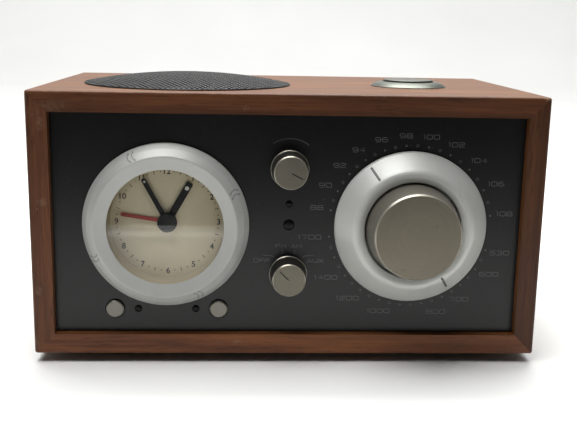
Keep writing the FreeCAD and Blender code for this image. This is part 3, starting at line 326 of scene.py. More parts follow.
def satin_silver(name, colour, rough=0.44, metal=0.28):
    """Metallic lacquer: fine flakes in a soft sheen, with faint handling marks."""
    k = Look(name, rough, metal, Coat_Weight=0.05, Coat_Roughness=0.3)
    flake = k.voronoi(5200)
    smear = k.noise(70, 5, 0.65)
    streak = k.noise(1, 2, 0.5, k.moved((900, 60, 60), (2, 3, 1), (0.2, 0.5, 0.9)))
    mark = k.ramp(streak, (0.68, 0.0), (0.74, 1.0))
    dark = tuple(c * 0.9 for c in colour[:3]) + (1,)
    light = tuple(min(1, c * 1.08) for c in colour[:3]) + (1,)
    blend = k.math("ADD", k.math("MULTIPLY", flake, 0.5), k.math("MULTIPLY", smear, 0.5))
    tone = k.ramp(blend, (0.2, dark), (0.7, light))
    k.set("Base Color", k.mix(k.math("MULTIPLY", mark, 0.12), tone, srgb("7d7f7d")))
    k.set("Roughness", k.math("ADD", rough - 0.07, k.math("MULTIPLY", smear, 0.14)))
    k.bump(flake, 0.12, 0.01 * MM)
    return k.m


def dial_card():
    """Cream printed card behind the glass, darker towards the rim."""
    k = Look("cream_card", 0.6)
    x, _, z = k.split(k.moved(shift=(-CLOCK.x, 0, -CLOCK.z)))
    radius = k.math("SQRT", k.math("ADD", k.math("MULTIPLY", x, x), k.math("MULTIPLY", z, z)))
    cloud = k.noise(40, 4, 0.6)
    tone = k.mix(k.ramp(cloud, (0.35, 0.0), (0.7, 1.0)), srgb("e6dbbe"), srgb("dccfb0"))
    rim = k.ramp(k.math("MULTIPLY", radius, 1 / (24.5 * MM)), (0.82, 0.0), (1.0, 0.6))
    k.set("Base Color", k.mix(rim, tone, srgb("c6b896")))
    k.bump(k.noise(3000, 2, 0.5), 0.08, 0.02 * MM)
    return k.m


def glass():
    """Clear moulded lens with faint hairlines."""
    k = Look("lens_acrylic", 0.03, 0.0, Transmission_Weight=1.0, IOR=1.41)
    hair = k.noise(1, 2, 0.5, k.moved((2600, 40, 40), (0, 0, 0), (0, 0.7, 0)))
    k.set("Base Color", (0.97, 0.98, 0.97, 1))
    k.set("Roughness", k.ramp(hair, (0.6, 0.02), (0.72, 0.07)))
    return k.m


def coil_wire():
    """Enamelled copper, wound in even turns."""
    k = Look("enamelled_wire", 0.3, 1.0)
    wave = k.t.nodes.new("ShaderNodeTexWave")
    wave.bands_direction = "Z"
    wave.inputs["Scale"].default_value = 620
    k.link(k.place, wave.inputs["Vector"])
    k.set("Base Color", k.ramp(wave.outputs["Fac"], (0.2, srgb("6b2f12")), (0.8, srgb("c7763a"))))
    k.bump(wave.outputs["Fac"], 0.5, 0.1 * MM)
    return k.m


def circuit_board():
    """Green resin with tracks showing through."""
    k = Look("green_resin", 0.35)
    tracks = k.voronoi(160, feature="DISTANCE_TO_EDGE")
    k.set("Base Color", k.ramp(tracks, (0.06, srgb("2d6b3a")), (0.12, srgb("164a25"))))
    k.bump(tracks, 0.2, 0.05 * MM)
    return k.m


def laminations():
    """The edges of stacked steel sheets."""
    k = Look("core_sheets", 0.5, 0.8)
    wave = k.t.nodes.new("ShaderNodeTexWave")
    wave.bands_direction = "Y"
    wave.inputs["Scale"].default_value = 500
    k.link(k.place, wave.inputs["Vector"])
    k.set("Base Color", k.ramp(wave.outputs["Fac"], (0.3, srgb("37383a")), (0.7, srgb("77787a"))))
    k.bump(wave.outputs["Fac"], 0.4, 0.1 * MM)
    return k.m


# the face and strip numbers paint light and shade: the top face paler, the top and left strips darker, the
# bottom strip paler; the right strip is darker partly from its veneer's tone and partly as painted shade
wood_top = wood("veneer_top", "x", 1.1, 0.8,
                [(-18.3, 108.2, 3, 3, 0.3), (-95, 108, 16, 6, 0.07), (105.2, 114, 6, 2.6, 0.4)])
wood_bottom = wood("veneer_bottom", "x", 1.0, 1.3, [(-21, 9, 5, 3, 0.16)])
wood_left = wood("veneer_left", "z", 1.0, 0.92,
                 [(-103, 106, 6, 9, 0.07), (-100.5, 101, 4, 7, 0.12), (-100.7, 69, 6, 4, 0.16),
                  (-103.5, 31.5, 4, 5, 0.14), (-105.5, 9, 4, 8, 0.14)])
wood_right = wood("veneer_right", "z", 1.0, 0.52)
black_plastic = plain("black_moulding", srgb("232423"), 0.45, grit=500, bump=0.3)
black_rubber = plain("black_rubber", srgb("1c1c1c"), 0.7, grit=300, bump=0.4)
steel = plain("zinc_steel", srgb("a3a5a6"), 0.32, 1.0, grit=500)
bright_steel = plain("ground_steel", srgb("c4c4c2"), 0.2, 1.0, grit=700, bump=0.08)
plate_metal = plain("plate_aluminium", srgb("cfd0d0"), 0.3, 1.0, grit=600)
nickel = plain("nickel", srgb("c9c4b8"), 0.22, 1.0, grit=600, bump=0.1)
panel_paint = charcoal()
silver = satin_silver("silver_lacquer", srgb("c3c4c0"))
button_silver = satin_silver("button_satin", srgb("74726a"), 0.36, 0.8)
black_gloss = plain("black_lacquer", srgb("080809"), 0.4, grit=900, bump=0.08, Specular_IOR_Level=0.3)
# the hand's red paint, made paler as a painted reflection of the lens over it
red_paint_and_reflection = plain("red_paint_and_reflection", srgb("a8322c"), 0.4, grit=900, bump=0.08)
lamp_glass = plain("smoked_lamp", srgb("060606"), 0.34, grit=900, bump=0.02, Specular_IOR_Level=0.2)
grille_paint = plain("grille_paint", srgb("1b1d1e"), 0.4, 0.3, grit=700, vary=0.2)
basket_paint = plain("basket_paint", srgb("2a2a2c"), 0.45, 0.3)

FINISH = {
    "walnut_veneer": wood_top,
    "pine": plain("pine", srgb("c8a777"), 0.6, grit=120, vary=0.2),
    "black_rubber": black_rubber,
    "black_plastic": black_plastic,
    "zinc_steel": steel,
    "ground_steel": bright_steel,
    "charcoal_panel": panel_paint,
    "board_resin": circuit_board(),
    "lamp_lens": lamp_glass,
    "silver_button": button_silver,
    "satin_silver": silver,
    "capacitor_plates": plate_metal,
    "clear_lens": glass(),
    "cream_dial": dial_card(),
    "black_hands": black_gloss,
    "red_hand": red_paint_and_reflection,
    "black_grille": grille_paint,
    "basket_steel": basket_paint,
    "ferrite": plain("ferrite_grey", srgb("3b3b3d"), 0.6, grit=300),
    "copper_wire": coil_wire(),
    "cone_paper": plain("cone_pulp", srgb("232323"), 0.85, grit=200, vary=0.3, bump=0.5),
    "spider_cloth": plain("spider_cloth", srgb("b98c45"), 0.8, grit=250, bump=0.6),
    "nickel": nickel,
    "battery_wrap": plain("battery_wrap", srgb("3a3f47"), 0.3, 0.4, grit=800, bump=0.05),
    "core_steel": laminations(),
}
brushed_cap = plain("brushed_cap", srgb("63665f"), 0.42, 1.0, grit=800, vary=0.06, bump=0.06)
BY_NODE = {
    "clock_bezel": satin_silver("bezel_lacquer", srgb("b2b3af"), 0.47),
    "snooze_trim_ring": brushed_cap,
    "snooze_button": brushed_cap,
    "cabinet_bottom": wood_bottom,
    "cabinet_left_side": wood_left,
    "cabinet_right_side": wood_right,
    # the fourth colour of each knob is painted shade on its side
    "volume_knob": turned_metal("volume_metal", VOLUME, srgb("787368"), srgb("302f2b")),
    "selector_knob": turned_metal("selector_metal", SELECTOR, srgb("6b675c"), srgb("302f2b")),
    "tuning_knob": turned_metal("tuning_metal", DIAL, srgb("777164"), srgb("625f57"),
                                [(-5.7, -13.4, 2.2, 1.2), (-10.3, -14.2, 2.6, 1.4), (16.9, -3.6, 1.2, 3.6)]),
}
slots = {row["node"]: row["material_slot"] for row in frame["record"]["subparts"]}


def smooth(mesh, angle=32):
    """Round shading, with creases where faces meet at more than the angle."""
    mesh.polygons.foreach_set("use_smooth", [True] * len(mesh.polygons))
    mesh.set_sharp_from_angle(angle=math.radians(angle))


nodes["clock_lens"].visible_shadow = False
for name, thing in nodes.items():
    finish = BY_NODE.get(name) or FINISH[slots[name]]
    thing.data.materials.clear()
    thing.data.materials.append(finish)


# ------------------------------------------------------------------ making pieces

def piece(name, body, points, faces, finish, rounded=False):
    """A new mesh piece in the row's frame that rides on a body."""
    mesh = bpy.data.meshes.new(name)
    mesh.from_pydata([tuple(p) for p in points], [], faces)
    mesh.update()
    thing = bpy.data.objects.new(name, mesh)
    bpy.context.scene.collection.objects.link(thing)
    mesh.materials.append(finish)
    if rounded:
        smooth(mesh)
    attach(thing, body)
    return thing


SUNK = 0.25 * MM


class Heap:
    """Points and faces of one piece, gathered bit by bit."""

    def __init__(self):
        self.points = []
        self.faces = []

    def add(self, points, faces):
        start = len(self.points)
        self.points.extend(points)
        self.faces.extend([tuple(start + i for i in face) for face in faces])

    def slab(self, outline, lift, thick, out):
        """A flat shape: outline points (x, z) laid on a surface, its underside just inside it.

        out(x, z, height) gives the point in space at a height over the surface."""
        count = len(outline)
        top = [out(x, z, lift + thick) for x, z in outline]
        low = [out(x, z, lift - SUNK) for x, z in outline]
        faces = [tuple(range(count)), tuple(range(2 * count - 1, count - 1, -1))]
        for i in range(count):
            j = (i + 1) % count
            faces.append((i, i + count, j + count, j))
        self.add(top + low, faces)

    def stroke(self, path, width, lift, thick, out, closed=False, taper=None):
        """A ribbon along a path of (x, z) points: as wide as width, or as taper says point by point."""
        count = len(path)
        lefts, rights = [], []
        for i in range(count):
            if closed:
                a, b = path[i - 1], path[(i + 1) % count]
            else:
                a, b = path[max(i - 1, 0)], path[min(i + 1, count - 1)]
            dx, dz = b[0] - a[0], b[1] - a[1]
            size = math.hypot(dx, dz) or 1
            w = (taper[i] if taper else width) / 2
            nx, nz = -dz / size * w, dx / size * w
            lefts.append((path[i][0] + nx, path[i][1] + nz))
            rights.append((path[i][0] - nx, path[i][1] - nz))
        both = lefts + rights
        top = [out(x, z, lift + thick) for x, z in both]
        low = [out(x, z, lift - SUNK) for x, z in both]
        n = len(both)
        faces = []
        spans = count if closed else count - 1
        for i in range(spans):
            j = (i + 1) % count
            faces.append((i, j, j + count, i + count))
            faces.append((n + i, n + i + count, n + j + count, n + j))
            faces.append((i, n + i, n + j, j))
            faces.append((i + count, j + count, n + j + count, n + i + count))
        if not closed:
            faces.append((0, count, n + count, n))
            last = count - 1
            faces.append((last, n + last, n + last + count, last + count))
        self.add(top + low, faces)


def disc(x, z, radius, steps=16):
    """Points round a circle."""
    angles = [2 * math.pi * i / steps for i in range(steps)]
    return [(x + radius * math.cos(a), z + radius * math.sin(a)) for a in angles]


def arc(x, z, radius, start, end, steps):
    """Points on a circle, angles in degrees from +x towards +z."""
    out = []
    for i in range(steps + 1):
        a = math.radians(start + (end - start) * i / steps)
        out.append((x + radius * math.cos(a), z + radius * math.sin(a)))
    return out


TURN_STEPS = 96


def lathe_faces(corners, inward=False):
    """Faces of a profile turned right round, whose points come step by step."""
    faces = []
    for i in range(TURN_STEPS):
        j = (i + 1) % TURN_STEPS
        for k in range(corners):
            m = (k + 1) % corners
            face = (i * corners + k, i * corners + m, j * corners + m, j * corners + k)
            faces.append(face[::-1] if inward else face)
    return faces


def on_panel(x, z, height):
    """Lays points on the front panel."""
    return Vector((x, PANEL_Y - height, z))


def on_node(node):
    """Lays points on the front of a CAD node."""
    def out(x, z, height):
        return Vector((x, front_of(node, x, z) - height, z))
    return out


# ------------------------------------------------------------------ wide thin letterforms

def rounded_box(w, h, r):
    """Points round a rectangle with rounded corners, centred on zero."""
    points = []
    for cx, cz, a0 in ((w / 2 - r, h / 2 - r, 0), (-w / 2 + r, h / 2 - r, 90),
                       (-w / 2 + r, -h / 2 + r, 180), (w / 2 - r, -h / 2 + r, 270)):
        for i in range(5):
            a = math.radians(a0 + 90 * i / 4)
            points.append((cx + r * math.cos(a), cz + r * math.sin(a)))
    return points


# a sign's width and height, the gap between two signs, and the radius of a corner, in mm
W, H, GAP, CORNER = 2.3, 1.75, 0.62, 0.42


def glyph(sign):
    """Paths of one sign in mm about its middle, and its width. A path that ends with None is closed."""
    w, h = W / 2, H / 2
    loop = rounded_box(W, H, CORNER)
    if sign in "0O":
        return [loop + [None]], W
    if sign == "1":
        return [[(-0.45, h), (0.15, h), (0.15, -h)]], 0.9
    if sign == "2":
        return [[(-w, h - 0.15), (-w + 0.2, h), (w - 0.35, h), (w, h - 0.35), (w, 0.4), (w - 0.4, 0.02),
                 (-w + 0.4, -0.02), (-w, -0.4), (-w, -h), (w, -h)]], W
    if sign == "3":
        return [[(-w, h), (w - 0.4, h), (w, h - 0.35), (w, 0.3), (w - 0.35, 0), (-w * 0.4, 0)],
                [(w - 0.35, 0), (w, -0.3), (w, -h + 0.35), (w - 0.4, -h), (-w, -h)]], W
    if sign == "4":
        return [[(w * 0.45, -h), (w * 0.45, h), (-w, -0.25), (w, -0.25)]], W
    if sign == "5":
        return [[(w, h), (-w, h), (-w, 0.12), (w - 0.4, 0.12), (w, -0.2), (w, -h + 0.35),
                 (w - 0.4, -h), (-w, -h)]], W
    if sign == "6":
        return [[(w * 0.8, h), (-w + 0.4, h), (-w, h - 0.4), (-w, -h + 0.4), (-w + 0.4, -h),
                 (w - 0.4, -h), (w, -h + 0.35), (w, -0.2), (w - 0.35, 0.1), (-w, 0.1)]], W
    if sign == "7":
        return [[(-w, h), (w, h), (-w * 0.1, -h)]], W
    if sign == "8":
        upper = [(x * 0.92, z * 0.5 + h / 2) for x, z in loop]
        lower = [(x, z * 0.5 - h / 2) for x, z in loop]
        return [upper + [None], lower + [None]], W
    if sign == "9":
        return [[(-w * 0.8, -h), (w - 0.4, -h), (w, -h + 0.4), (w, h - 0.4), (w - 0.4, h),
                 (-w + 0.4, h), (-w, h - 0.35), (-w, 0.2), (-w + 0.35, -0.1), (w, -0.1)]], W
    if sign == "F":
        return [[(w, h), (-w, h), (-w, -h)], [(-w, 0.05), (w * 0.7, 0.05)]], W
    if sign == "M":
        return [[(-w, -h), (-w, h), (0, -h * 0.3), (w, h), (w, -h)]], W
    if sign == "A":
        return [[(-w, -h), (0, h), (w, -h)], [(-w * 0.6, -h * 0.3), (w * 0.6, -h * 0.3)]], W
    if sign == "U":
        return [[(-w, h), (-w, -h + 0.4), (-w + 0.4, -h), (w - 0.4, -h), (w, -h + 0.4), (w, h)]], W
    if sign == "X":
        return [[(-w, h), (w, -h)], [(-w, -h), (w, h)]], W
    return [], W


def write(heap, text, x, z, scale=1.0, width=0.25):
    """Adds a short line of wide letters to a heap, centred on (x, z), in metres."""
    total = sum(glyph(s)[1] for s in text) + GAP * (len(text) - 1)
    at = -total / 2
    for s in text:
        paths, wide = glyph(s)
        cx = at + wide / 2
        for level, path in enumerate(paths):
            closed = path[-1] is None
            if closed:
                path = path[:-1]
            line = [(x + (cx + px) * scale * MM, z + pz * scale * MM) for px, pz in path]
            heap.stroke(line, width * MM, 0, (0.03 + 0.008 * level) * MM, on_panel, closed)
        at += wide + GAP


# ------------------------------------------------------------------ tuning scale

FM_FROM, FM_TO, FM_STEP = 88, 108, 2
# each label with its angle from +x towards +z and how far out it stands, in degrees and mm
AM = [("530", -16, 40.5), ("600", -30.5, 40.5), ("700", -54.5, 39), ("800", -71, 39.5),
      ("1000", -108, 39), ("1200", -129, 40.5), ("1400", -147.5, 41.5), ("1700", -173.5, 42.5)]
AM_FROM, AM_TO, AM_MARKS = -16.8, -172.3, 21
MARK_R = 34.3 * MM
LABEL_R = 38.3
print_grey = plain("scale_print", srgb("515453"), 0.5, grit=900, bump=0.05)

scale = Heap()


def scale_mark(angle, solid):
    """A dot or a small ring at an angle round the dial."""
    a = math.radians(angle)
    x, z = DIAL.x + MARK_R * math.cos(a), DIAL.z + MARK_R * math.sin(a)
    if solid:
        scale.slab(disc(x, z, 0.42 * MM), 0, 0.03 * MM, on_panel)
    else:
        scale.stroke(disc(x, z, 0.5 * MM), 0.2 * MM, 0, 0.03 * MM, on_panel, True)


def fm_angle(mark):
    """The angle of a mark on the upper scale, whose steps grow towards its high end."""
    along = (mark - FM_FROM) / (FM_TO - FM_FROM)
    return 168.7 - 143.5 * along - 5.5 * along ** 2 - 11.3 * along ** 4


for mark in range(FM_FROM, FM_TO + 1, FM_STEP):
    scale_mark(fm_angle(mark), True)
    if mark < FM_TO:
        scale_mark(fm_angle(mark + FM_STEP / 2), False)
    a = math.radians(fm_angle(mark))
    reach = (LABEL_R + 2 * abs(math.cos(a))) * MM
    write(scale, str(mark), DIAL.x + reach * math.cos(a), DIAL.z + reach * math.sin(a))
for i in range(AM_MARKS):
    scale_mark(AM_FROM + (AM_TO - AM_FROM) * i / (AM_MARKS - 1), i % 2 == 0)
for text, angle, reach in AM:
    a = math.radians(angle)
    write(scale, text, DIAL.x + reach * MM * math.cos(a), DIAL.z + reach * MM * math.sin(a))
piece("tuning_scale_print", "radio", scale.points, scale.faces, print_grey)

# words and leader lines round the selector, and the volume's widening arc
legend = Heap()
sx, sz = SELECTOR.x, SELECTOR.z
WORD_SCALE, WORD_LINE, LEADER = 0.82, 0.26, 0.24 * MM
for word, x, z in (("FM", -3.3, 12.0), ("AM", 3.3, 12.0), ("OFF", -11.2, 5.7), ("AUX", 11.4, 5.7)):
    write(legend, word, sx + x * MM, sz + z * MM, WORD_SCALE, WORD_LINE)
for side in (-1, 1):
    a = math.radians(90 + 15 * side)
    ray = [(sx + r * MM * math.cos(a), sz + r * MM * math.sin(a)) for r in (8.9, 10.0, 10.9)]
    legend.stroke(ray, LEADER, 0, 0.03 * MM, on_panel)
    elbow = [(sx + side * u * MM, sz + v * MM)
             for u, v in ((10.6, 7.9), (8.4, 7.9), (7.0, 7.8), (6.2, 7.2))]
    legend.stroke(elbow, LEADER, 0, 0.03 * MM, on_panel)
SWEEP_STEPS, THIN, THICK = 24, 0.12, 0.4
sweep = arc(VOLUME.x, VOLUME.z, 12.6 * MM, 124, 52, SWEEP_STEPS)
widths = [(THIN + (THICK - THIN) * i / SWEEP_STEPS) * MM for i in range(SWEEP_STEPS + 1)]
legend.stroke(sweep, 0, 0, 0.03 * MM, on_panel, taper=widths)
piece("control_legend_print", "radio", legend.points, legend.faces, print_grey)


# ------------------------------------------------------------------ pointers on ring and knobs

def pill(heap, centre, angle, inner, outer, width, out, thick=0.02 * MM, steps=8):
    """A line along a radius, narrower at its two ends."""
    a = math.radians(angle)
    path = []
    for i in range(steps + 1):
        r = inner + (outer - inner) * i / steps
        path.append((centre.x + r * math.cos(a), centre.z + r * math.sin(a)))
    taper = [width * (0.55 if i in (0, steps) else 1) for i in range(steps + 1)]
    heap.stroke(path, width, 0, thick, out, taper=taper)


groove_dark = plain("groove_shadow", srgb("2c2c2b"), 0.6, grit=900, bump=0.05)
groove_light = plain("groove_floor", srgb("7d7d7a"), 0.45, 0.4, grit=900, bump=0.05)
edge, floor_line = Heap(), Heap()
ring_face = on_node("tuning_dial_ring")
for angle, inner, outer in ((124.9, 25.4, 31.1), (-57.3, 23.3, 29.6)):
    pill(edge, DIAL, angle, inner * MM, outer * MM, 0.95 * MM, ring_face, thick=0.06 * MM, steps=12)
    pill(floor_line, DIAL, angle, (inner + 0.4) * MM, (outer - 0.4) * MM, 0.36 * MM, ring_face,
         thick=0.09 * MM, steps=12)
piece("dial_pointer_edges", "dial_drive", edge.points, edge.faces, groove_dark)
piece("dial_pointer_floors", "dial_drive", floor_line.points, floor_line.faces, groove_light)

# clockwise turns from twelve, as the knobs are set at rest
VOLUME_TURN, SELECTOR_TURN = 117, -45
LINE_DEEP = 0.3 * MM
for label, centre, turned in (("volume", VOLUME, VOLUME_TURN), ("selector", SELECTOR, SELECTOR_TURN)):
    line = Heap()
    face_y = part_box(label + "_knob")[0].y

    def knob_face(x, z, height, face_y=face_y):
        """Lays points in the knob's 0.35 mm pointer groove, just above its floor."""
        return Vector((x, face_y - height + LINE_DEEP, z))
    pill(line, centre, 90 - turned, 0.4 * MM, 5.4 * MM, 0.42 * MM, knob_face)
    piece(label + "_pointer", label + "_control", line.points, line.faces, groove_dark)


# ------------------------------------------------------------------ clock face

DIAL_CARD_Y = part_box("clock_dial")[0].y


def on_card(x, z, height):
    """Lays points on the clock's dial card."""
    return Vector((x, DIAL_CARD_Y - height, z))


ink = plain("dial_ink", srgb("1e1c1a"), 0.55, grit=900, bump=0.05)
ticks = Heap()
NUMERAL_R = 21.5 * MM
TICKS = 48
for i in range(TICKS):
    if i % 4 == 0:
        continue
    a = math.radians(90 - i * 360 / TICKS)
    x, z = CLOCK.x + NUMERAL_R * math.cos(a), CLOCK.z + NUMERAL_R * math.sin(a)
    if i % 4 == 2:
        path = [(CLOCK.x + r * MM * math.cos(a), CLOCK.z + r * MM * math.sin(a)) for r in (20.7, 21.5, 22.3)]
        ticks.stroke(path, 0.28 * MM, 0, 0.02 * MM, on_card)
    else:
        ticks.slab(disc(x, z, 0.26 * MM, 10), 0, 0.02 * MM, on_card)
piece("clock_ticks", "radio", ticks.points, ticks.faces, ink)

numerals = []
for hour in range(1, 13):
    curve = bpy.data.curves.new("numeral", "FONT")
    curve.body = str(hour)
    curve.align_x, curve.align_y = "CENTER", "CENTER"
    curve.size = 3.5 * MM
    curve.offset = 0.06 * MM
    curve.extrude = 0.02 * MM
    curve.resolution_u = 4
    thing = bpy.data.objects.new("numeral", curve)
    a = math.radians(90 - hour * 30)
    place = Vector((CLOCK.x + NUMERAL_R * math.cos(a), DIAL_CARD_Y - 0.02 * MM,
                    CLOCK.z + NUMERAL_R * math.sin(a)))
    thing.matrix_world = Matrix.Translation(place) @ Matrix.Rotation(math.radians(90), 4, "X")
    bpy.context.scene.collection.objects.link(thing)
    numerals.append(thing)
bpy.context.view_layer.update()
digits = Heap()
graph = bpy.context.evaluated_depsgraph_get()
for thing in numerals:
    mesh = bpy.data.meshes.new_from_object(thing.evaluated_get(graph))
    points = [thing.matrix_world @ v.co for v in mesh.vertices]
    centre_x = (min(p.x for p in points) + max(p.x for p in points)) / 2
    centre_z = (min(p.z for p in points) + max(p.z for p in points)) / 2
    place = thing.matrix_world.translation
    shift = Vector((place.x - centre_x, 0, place.z - centre_z))
    digits.add([p + shift for p in points], [tuple(p.vertices) for p in mesh.polygons])
    bpy.data.objects.remove(thing)
piece("clock_numerals", "radio", digits.points, digits.faces, ink)

# cream wall that runs from the card out to the lens
card_edge = (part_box("clock_dial")[1].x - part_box("clock_dial")[0].x) / 2
LENS_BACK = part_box("clock_lens")[1].y
wall_paint = plain("card_wall", srgb("a89c82"), 0.6, grit=600)
wall = Heap()
wall_profile = [(card_edge - 0.35 * MM, DIAL_CARD_Y - 0.02 * MM),
                (card_edge - 0.1 * MM, DIAL_CARD_Y - 1.2 * MM),
                (card_edge + 0.02 * MM, LENS_BACK + 0.1 * MM),
                (card_edge + 0.08 * MM, LENS_BACK + 0.1 * MM),
                (card_edge + 0.08 * MM, DIAL_CARD_Y - 0.02 * MM)]
for i in range(TURN_STEPS):
    a = 2 * math.pi * i / TURN_STEPS
    wall.points += [(CLOCK.x + r * math.cos(a), y, CLOCK.z + r * math.sin(a)) for r, y in wall_profile]
wall.faces += lathe_faces(len(wall_profile))
piece("dial_wall", "radio", wall.points, wall.faces, wall_paint, True)

# luminous dots on the hands
lume = plain("lume_paint", srgb("e6e4da"), 0.5, grit=900, bump=0.1)
for label, angle, reach, radius in (("minute", -28.4, 19.6, 0.5), ("hour", 29.9, 16.7, 0.9)):
    a = math.radians(90 - angle)
    spot = Heap()
    x, z = CLOCK.x + reach * MM * math.cos(a), CLOCK.z + reach * MM * math.sin(a)
    spot.slab(disc(x, z, radius * MM, 16), 0, 0.06 * MM, on_node(label + "_hand"))
    piece(label + "_lume_dot", label, spot.points, spot.faces, lume)

# engraved double arcs on the bezel, each end with two small barbs
MARK_TURNS = (-24.5, 64, 155, 246)
MARK_REACH, MARK_HALF, MARK_BOW = 31.8, 1.8, 0.95
engraved = plain("bezel_engraving", srgb("7d7f7c"), 0.6, grit=900, bump=0.05)
marks = Heap()
bezel_face = on_node("clock_bezel")
for turn in MARK_TURNS:
    a = math.radians(90 - turn)
    radial = Vector((math.cos(a), math.sin(a)))
    along = Vector((math.sin(a), -math.cos(a)))
    for step in (-0.95, 1.05):
        path = []
        for i in range(13):
            t = -1 + i / 6
            bow = MARK_BOW * (1 - t * t)
            spot = radial * (MARK_REACH + MARK_HALF * t) * MM + along * (step - bow) * MM
            path.append((CLOCK.x + spot.x, CLOCK.z + spot.y))
        marks.stroke(path, 0.42 * MM, 0, 0.05 * MM, bezel_face)
        for end in (-1, 1):
            tip = radial * (MARK_REACH + MARK_HALF * end) * MM + along * step * MM
            for bend in (-0.75, 0.1):
                tail = tip - radial * 0.7 * end * MM + along * bend * MM
                barb = [(CLOCK.x + tip.x, CLOCK.z + tip.y), (CLOCK.x + tail.x, CLOCK.z + tail.y)]
                marks.stroke(barb, 0.26 * MM, 0, 0.04 * MM, bezel_face)
piece("bezel_marks", "bezel", marks.points, marks.faces, engraved)


# ------------------------------------------------------------------ perforated grille

low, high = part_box("speaker_grille")
gx, gy = (low.x + high.x) / 2, (low.y + high.y) / 2
G_R = (high.x - low.x) / 2
G_H = high.z - low.z
EDGE = 0.6 * MM
G_BALL = (G_R ** 2 + (G_H - EDGE) ** 2) / (2 * (G_H - EDGE))


def dome_z(r):
    """Height of the dome's outer skin at a distance from its middle."""
    return low.z + EDGE + math.sqrt(max(G_BALL ** 2 - r * r, 0)) - (G_BALL - (G_H - EDGE))


PITCH = 2.15 * MM
HOLE = 0.78 * MM
FIELD = G_R - 0.25 * MM
HOLE_FIELD = FIELD - 0.15 * MM
net = bmesh.new()
shared = {}


def net_vertex(x, y):
    """A shared point of the sheet, held inside its edge."""
    r = math.hypot(x, y)
    if r > FIELD:
        x, y = x * FIELD / r, y * FIELD / r
        r = FIELD
    key = (round(x * 1e7), round(y * 1e7))
    if key not in shared:
        shared[key] = net.verts.new((gx + x, gy + y, dome_z(r)))
    return shared[key]


ROW_STEP = PITCH * math.sqrt(3) / 2
rows = int(2 * G_R / ROW_STEP) + 2
side = PITCH / math.sqrt(3)
for j in range(-rows, rows):
    for i in range(-rows, rows):
        cx = (i + 0.5 * (j % 2)) * PITCH
        cy = j * ROW_STEP
        r = math.hypot(cx, cy)
        if r > FIELD + side * 0.9:
            continue
        outer = []
        for s in range(12):
            a = math.radians(30 + 30 * s)
            reach = side if s % 2 == 0 else PITCH / 2
            outer.append(net_vertex(cx + reach * math.cos(a), cy + reach * math.sin(a)))
        if r < FIELD + 0.2 * MM:  # the holes at the edge are cut off by it
            inner = []
            for s in range(12):
                a = math.radians(30 + 30 * s)
                x, y = cx + HOLE * math.cos(a), cy + HOLE * math.sin(a)
                inside = min(1.0, HOLE_FIELD / math.hypot(x, y))
                x, y = x * inside, y * inside
                inner.append(net.verts.new((gx + x, gy + y, dome_z(math.hypot(x, y)))))
            for s in range(12):
                t = (s + 1) % 12
                quad = [outer[s], outer[t], inner[t], inner[s]]
                if len(set(quad)) == 4:
                    net.faces.new(quad)
        else:
            ring = []
            for v in outer:
                if not ring or (v is not ring[-1] and v is not ring[0]):
                    ring.append(v)
            whole = len(ring) >= 3 and len(set(ring)) == len(ring)
            if whole and net.faces.get(ring) is None:
                net.faces.new(ring)
bmesh.ops.remove_doubles(net, verts=net.verts, dist=0.01 * MM)
bmesh.ops.recalc_face_normals(net, faces=net.faces)
mesh = bpy.data.meshes.new("grille_mesh")
net.to_mesh(mesh)
net.free()
if mesh.polygons[0].normal.z < 0:
    mesh.flip_normals()
mesh.materials.append(grille_paint)
grille = bpy.data.objects.new("perforated_grille", mesh)
bpy.context.scene.collection.objects.link(grille)
thicken = grille.modifiers.new("sheet", "SOLIDIFY")
thicken.thickness = 0.7 * MM
thicken.offset = -1
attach(grille, "radio")
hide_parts("speaker_grille")

# the rolled rim that closes the sheet's edge, just over it
rim = Heap()
rim_profile = [(G_R - 0.38 * MM, dome_z(G_R - 0.38 * MM) + 0.02 * MM),
               (G_R - 0.25 * MM, dome_z(G_R - 0.25 * MM) + 0.02 * MM),
               (G_R - 0.08 * MM, low.z + EDGE - 0.12 * MM),
               (G_R, low.z + EDGE - 0.3 * MM),
               (G_R, low.z),
               (G_R - 0.8 * MM, low.z),
               (G_R - 0.85 * MM, dome_z(G_R - 0.85 * MM) - 0.35 * MM)]
for s in range(TURN_STEPS):
    a = 2 * math.pi * s / TURN_STEPS
    rim.points += [(gx + r * math.cos(a), gy + r * math.sin(a), z) for r, z in rim_profile]
rim.faces += lathe_faces(len(rim_profile), inward=True)
rim_paint = plain("grille_rim_paint", srgb("0c0d0d"), 0.5, 0.2, grit=700, vary=0.2)
piece("grille_rim", "radio", rim.points, rim.faces, rim_paint, True)


# ------------------------------------------------------------------ studio

TABLE_EDGE_Y, LEDGE_OUT = -0.305, 0.04


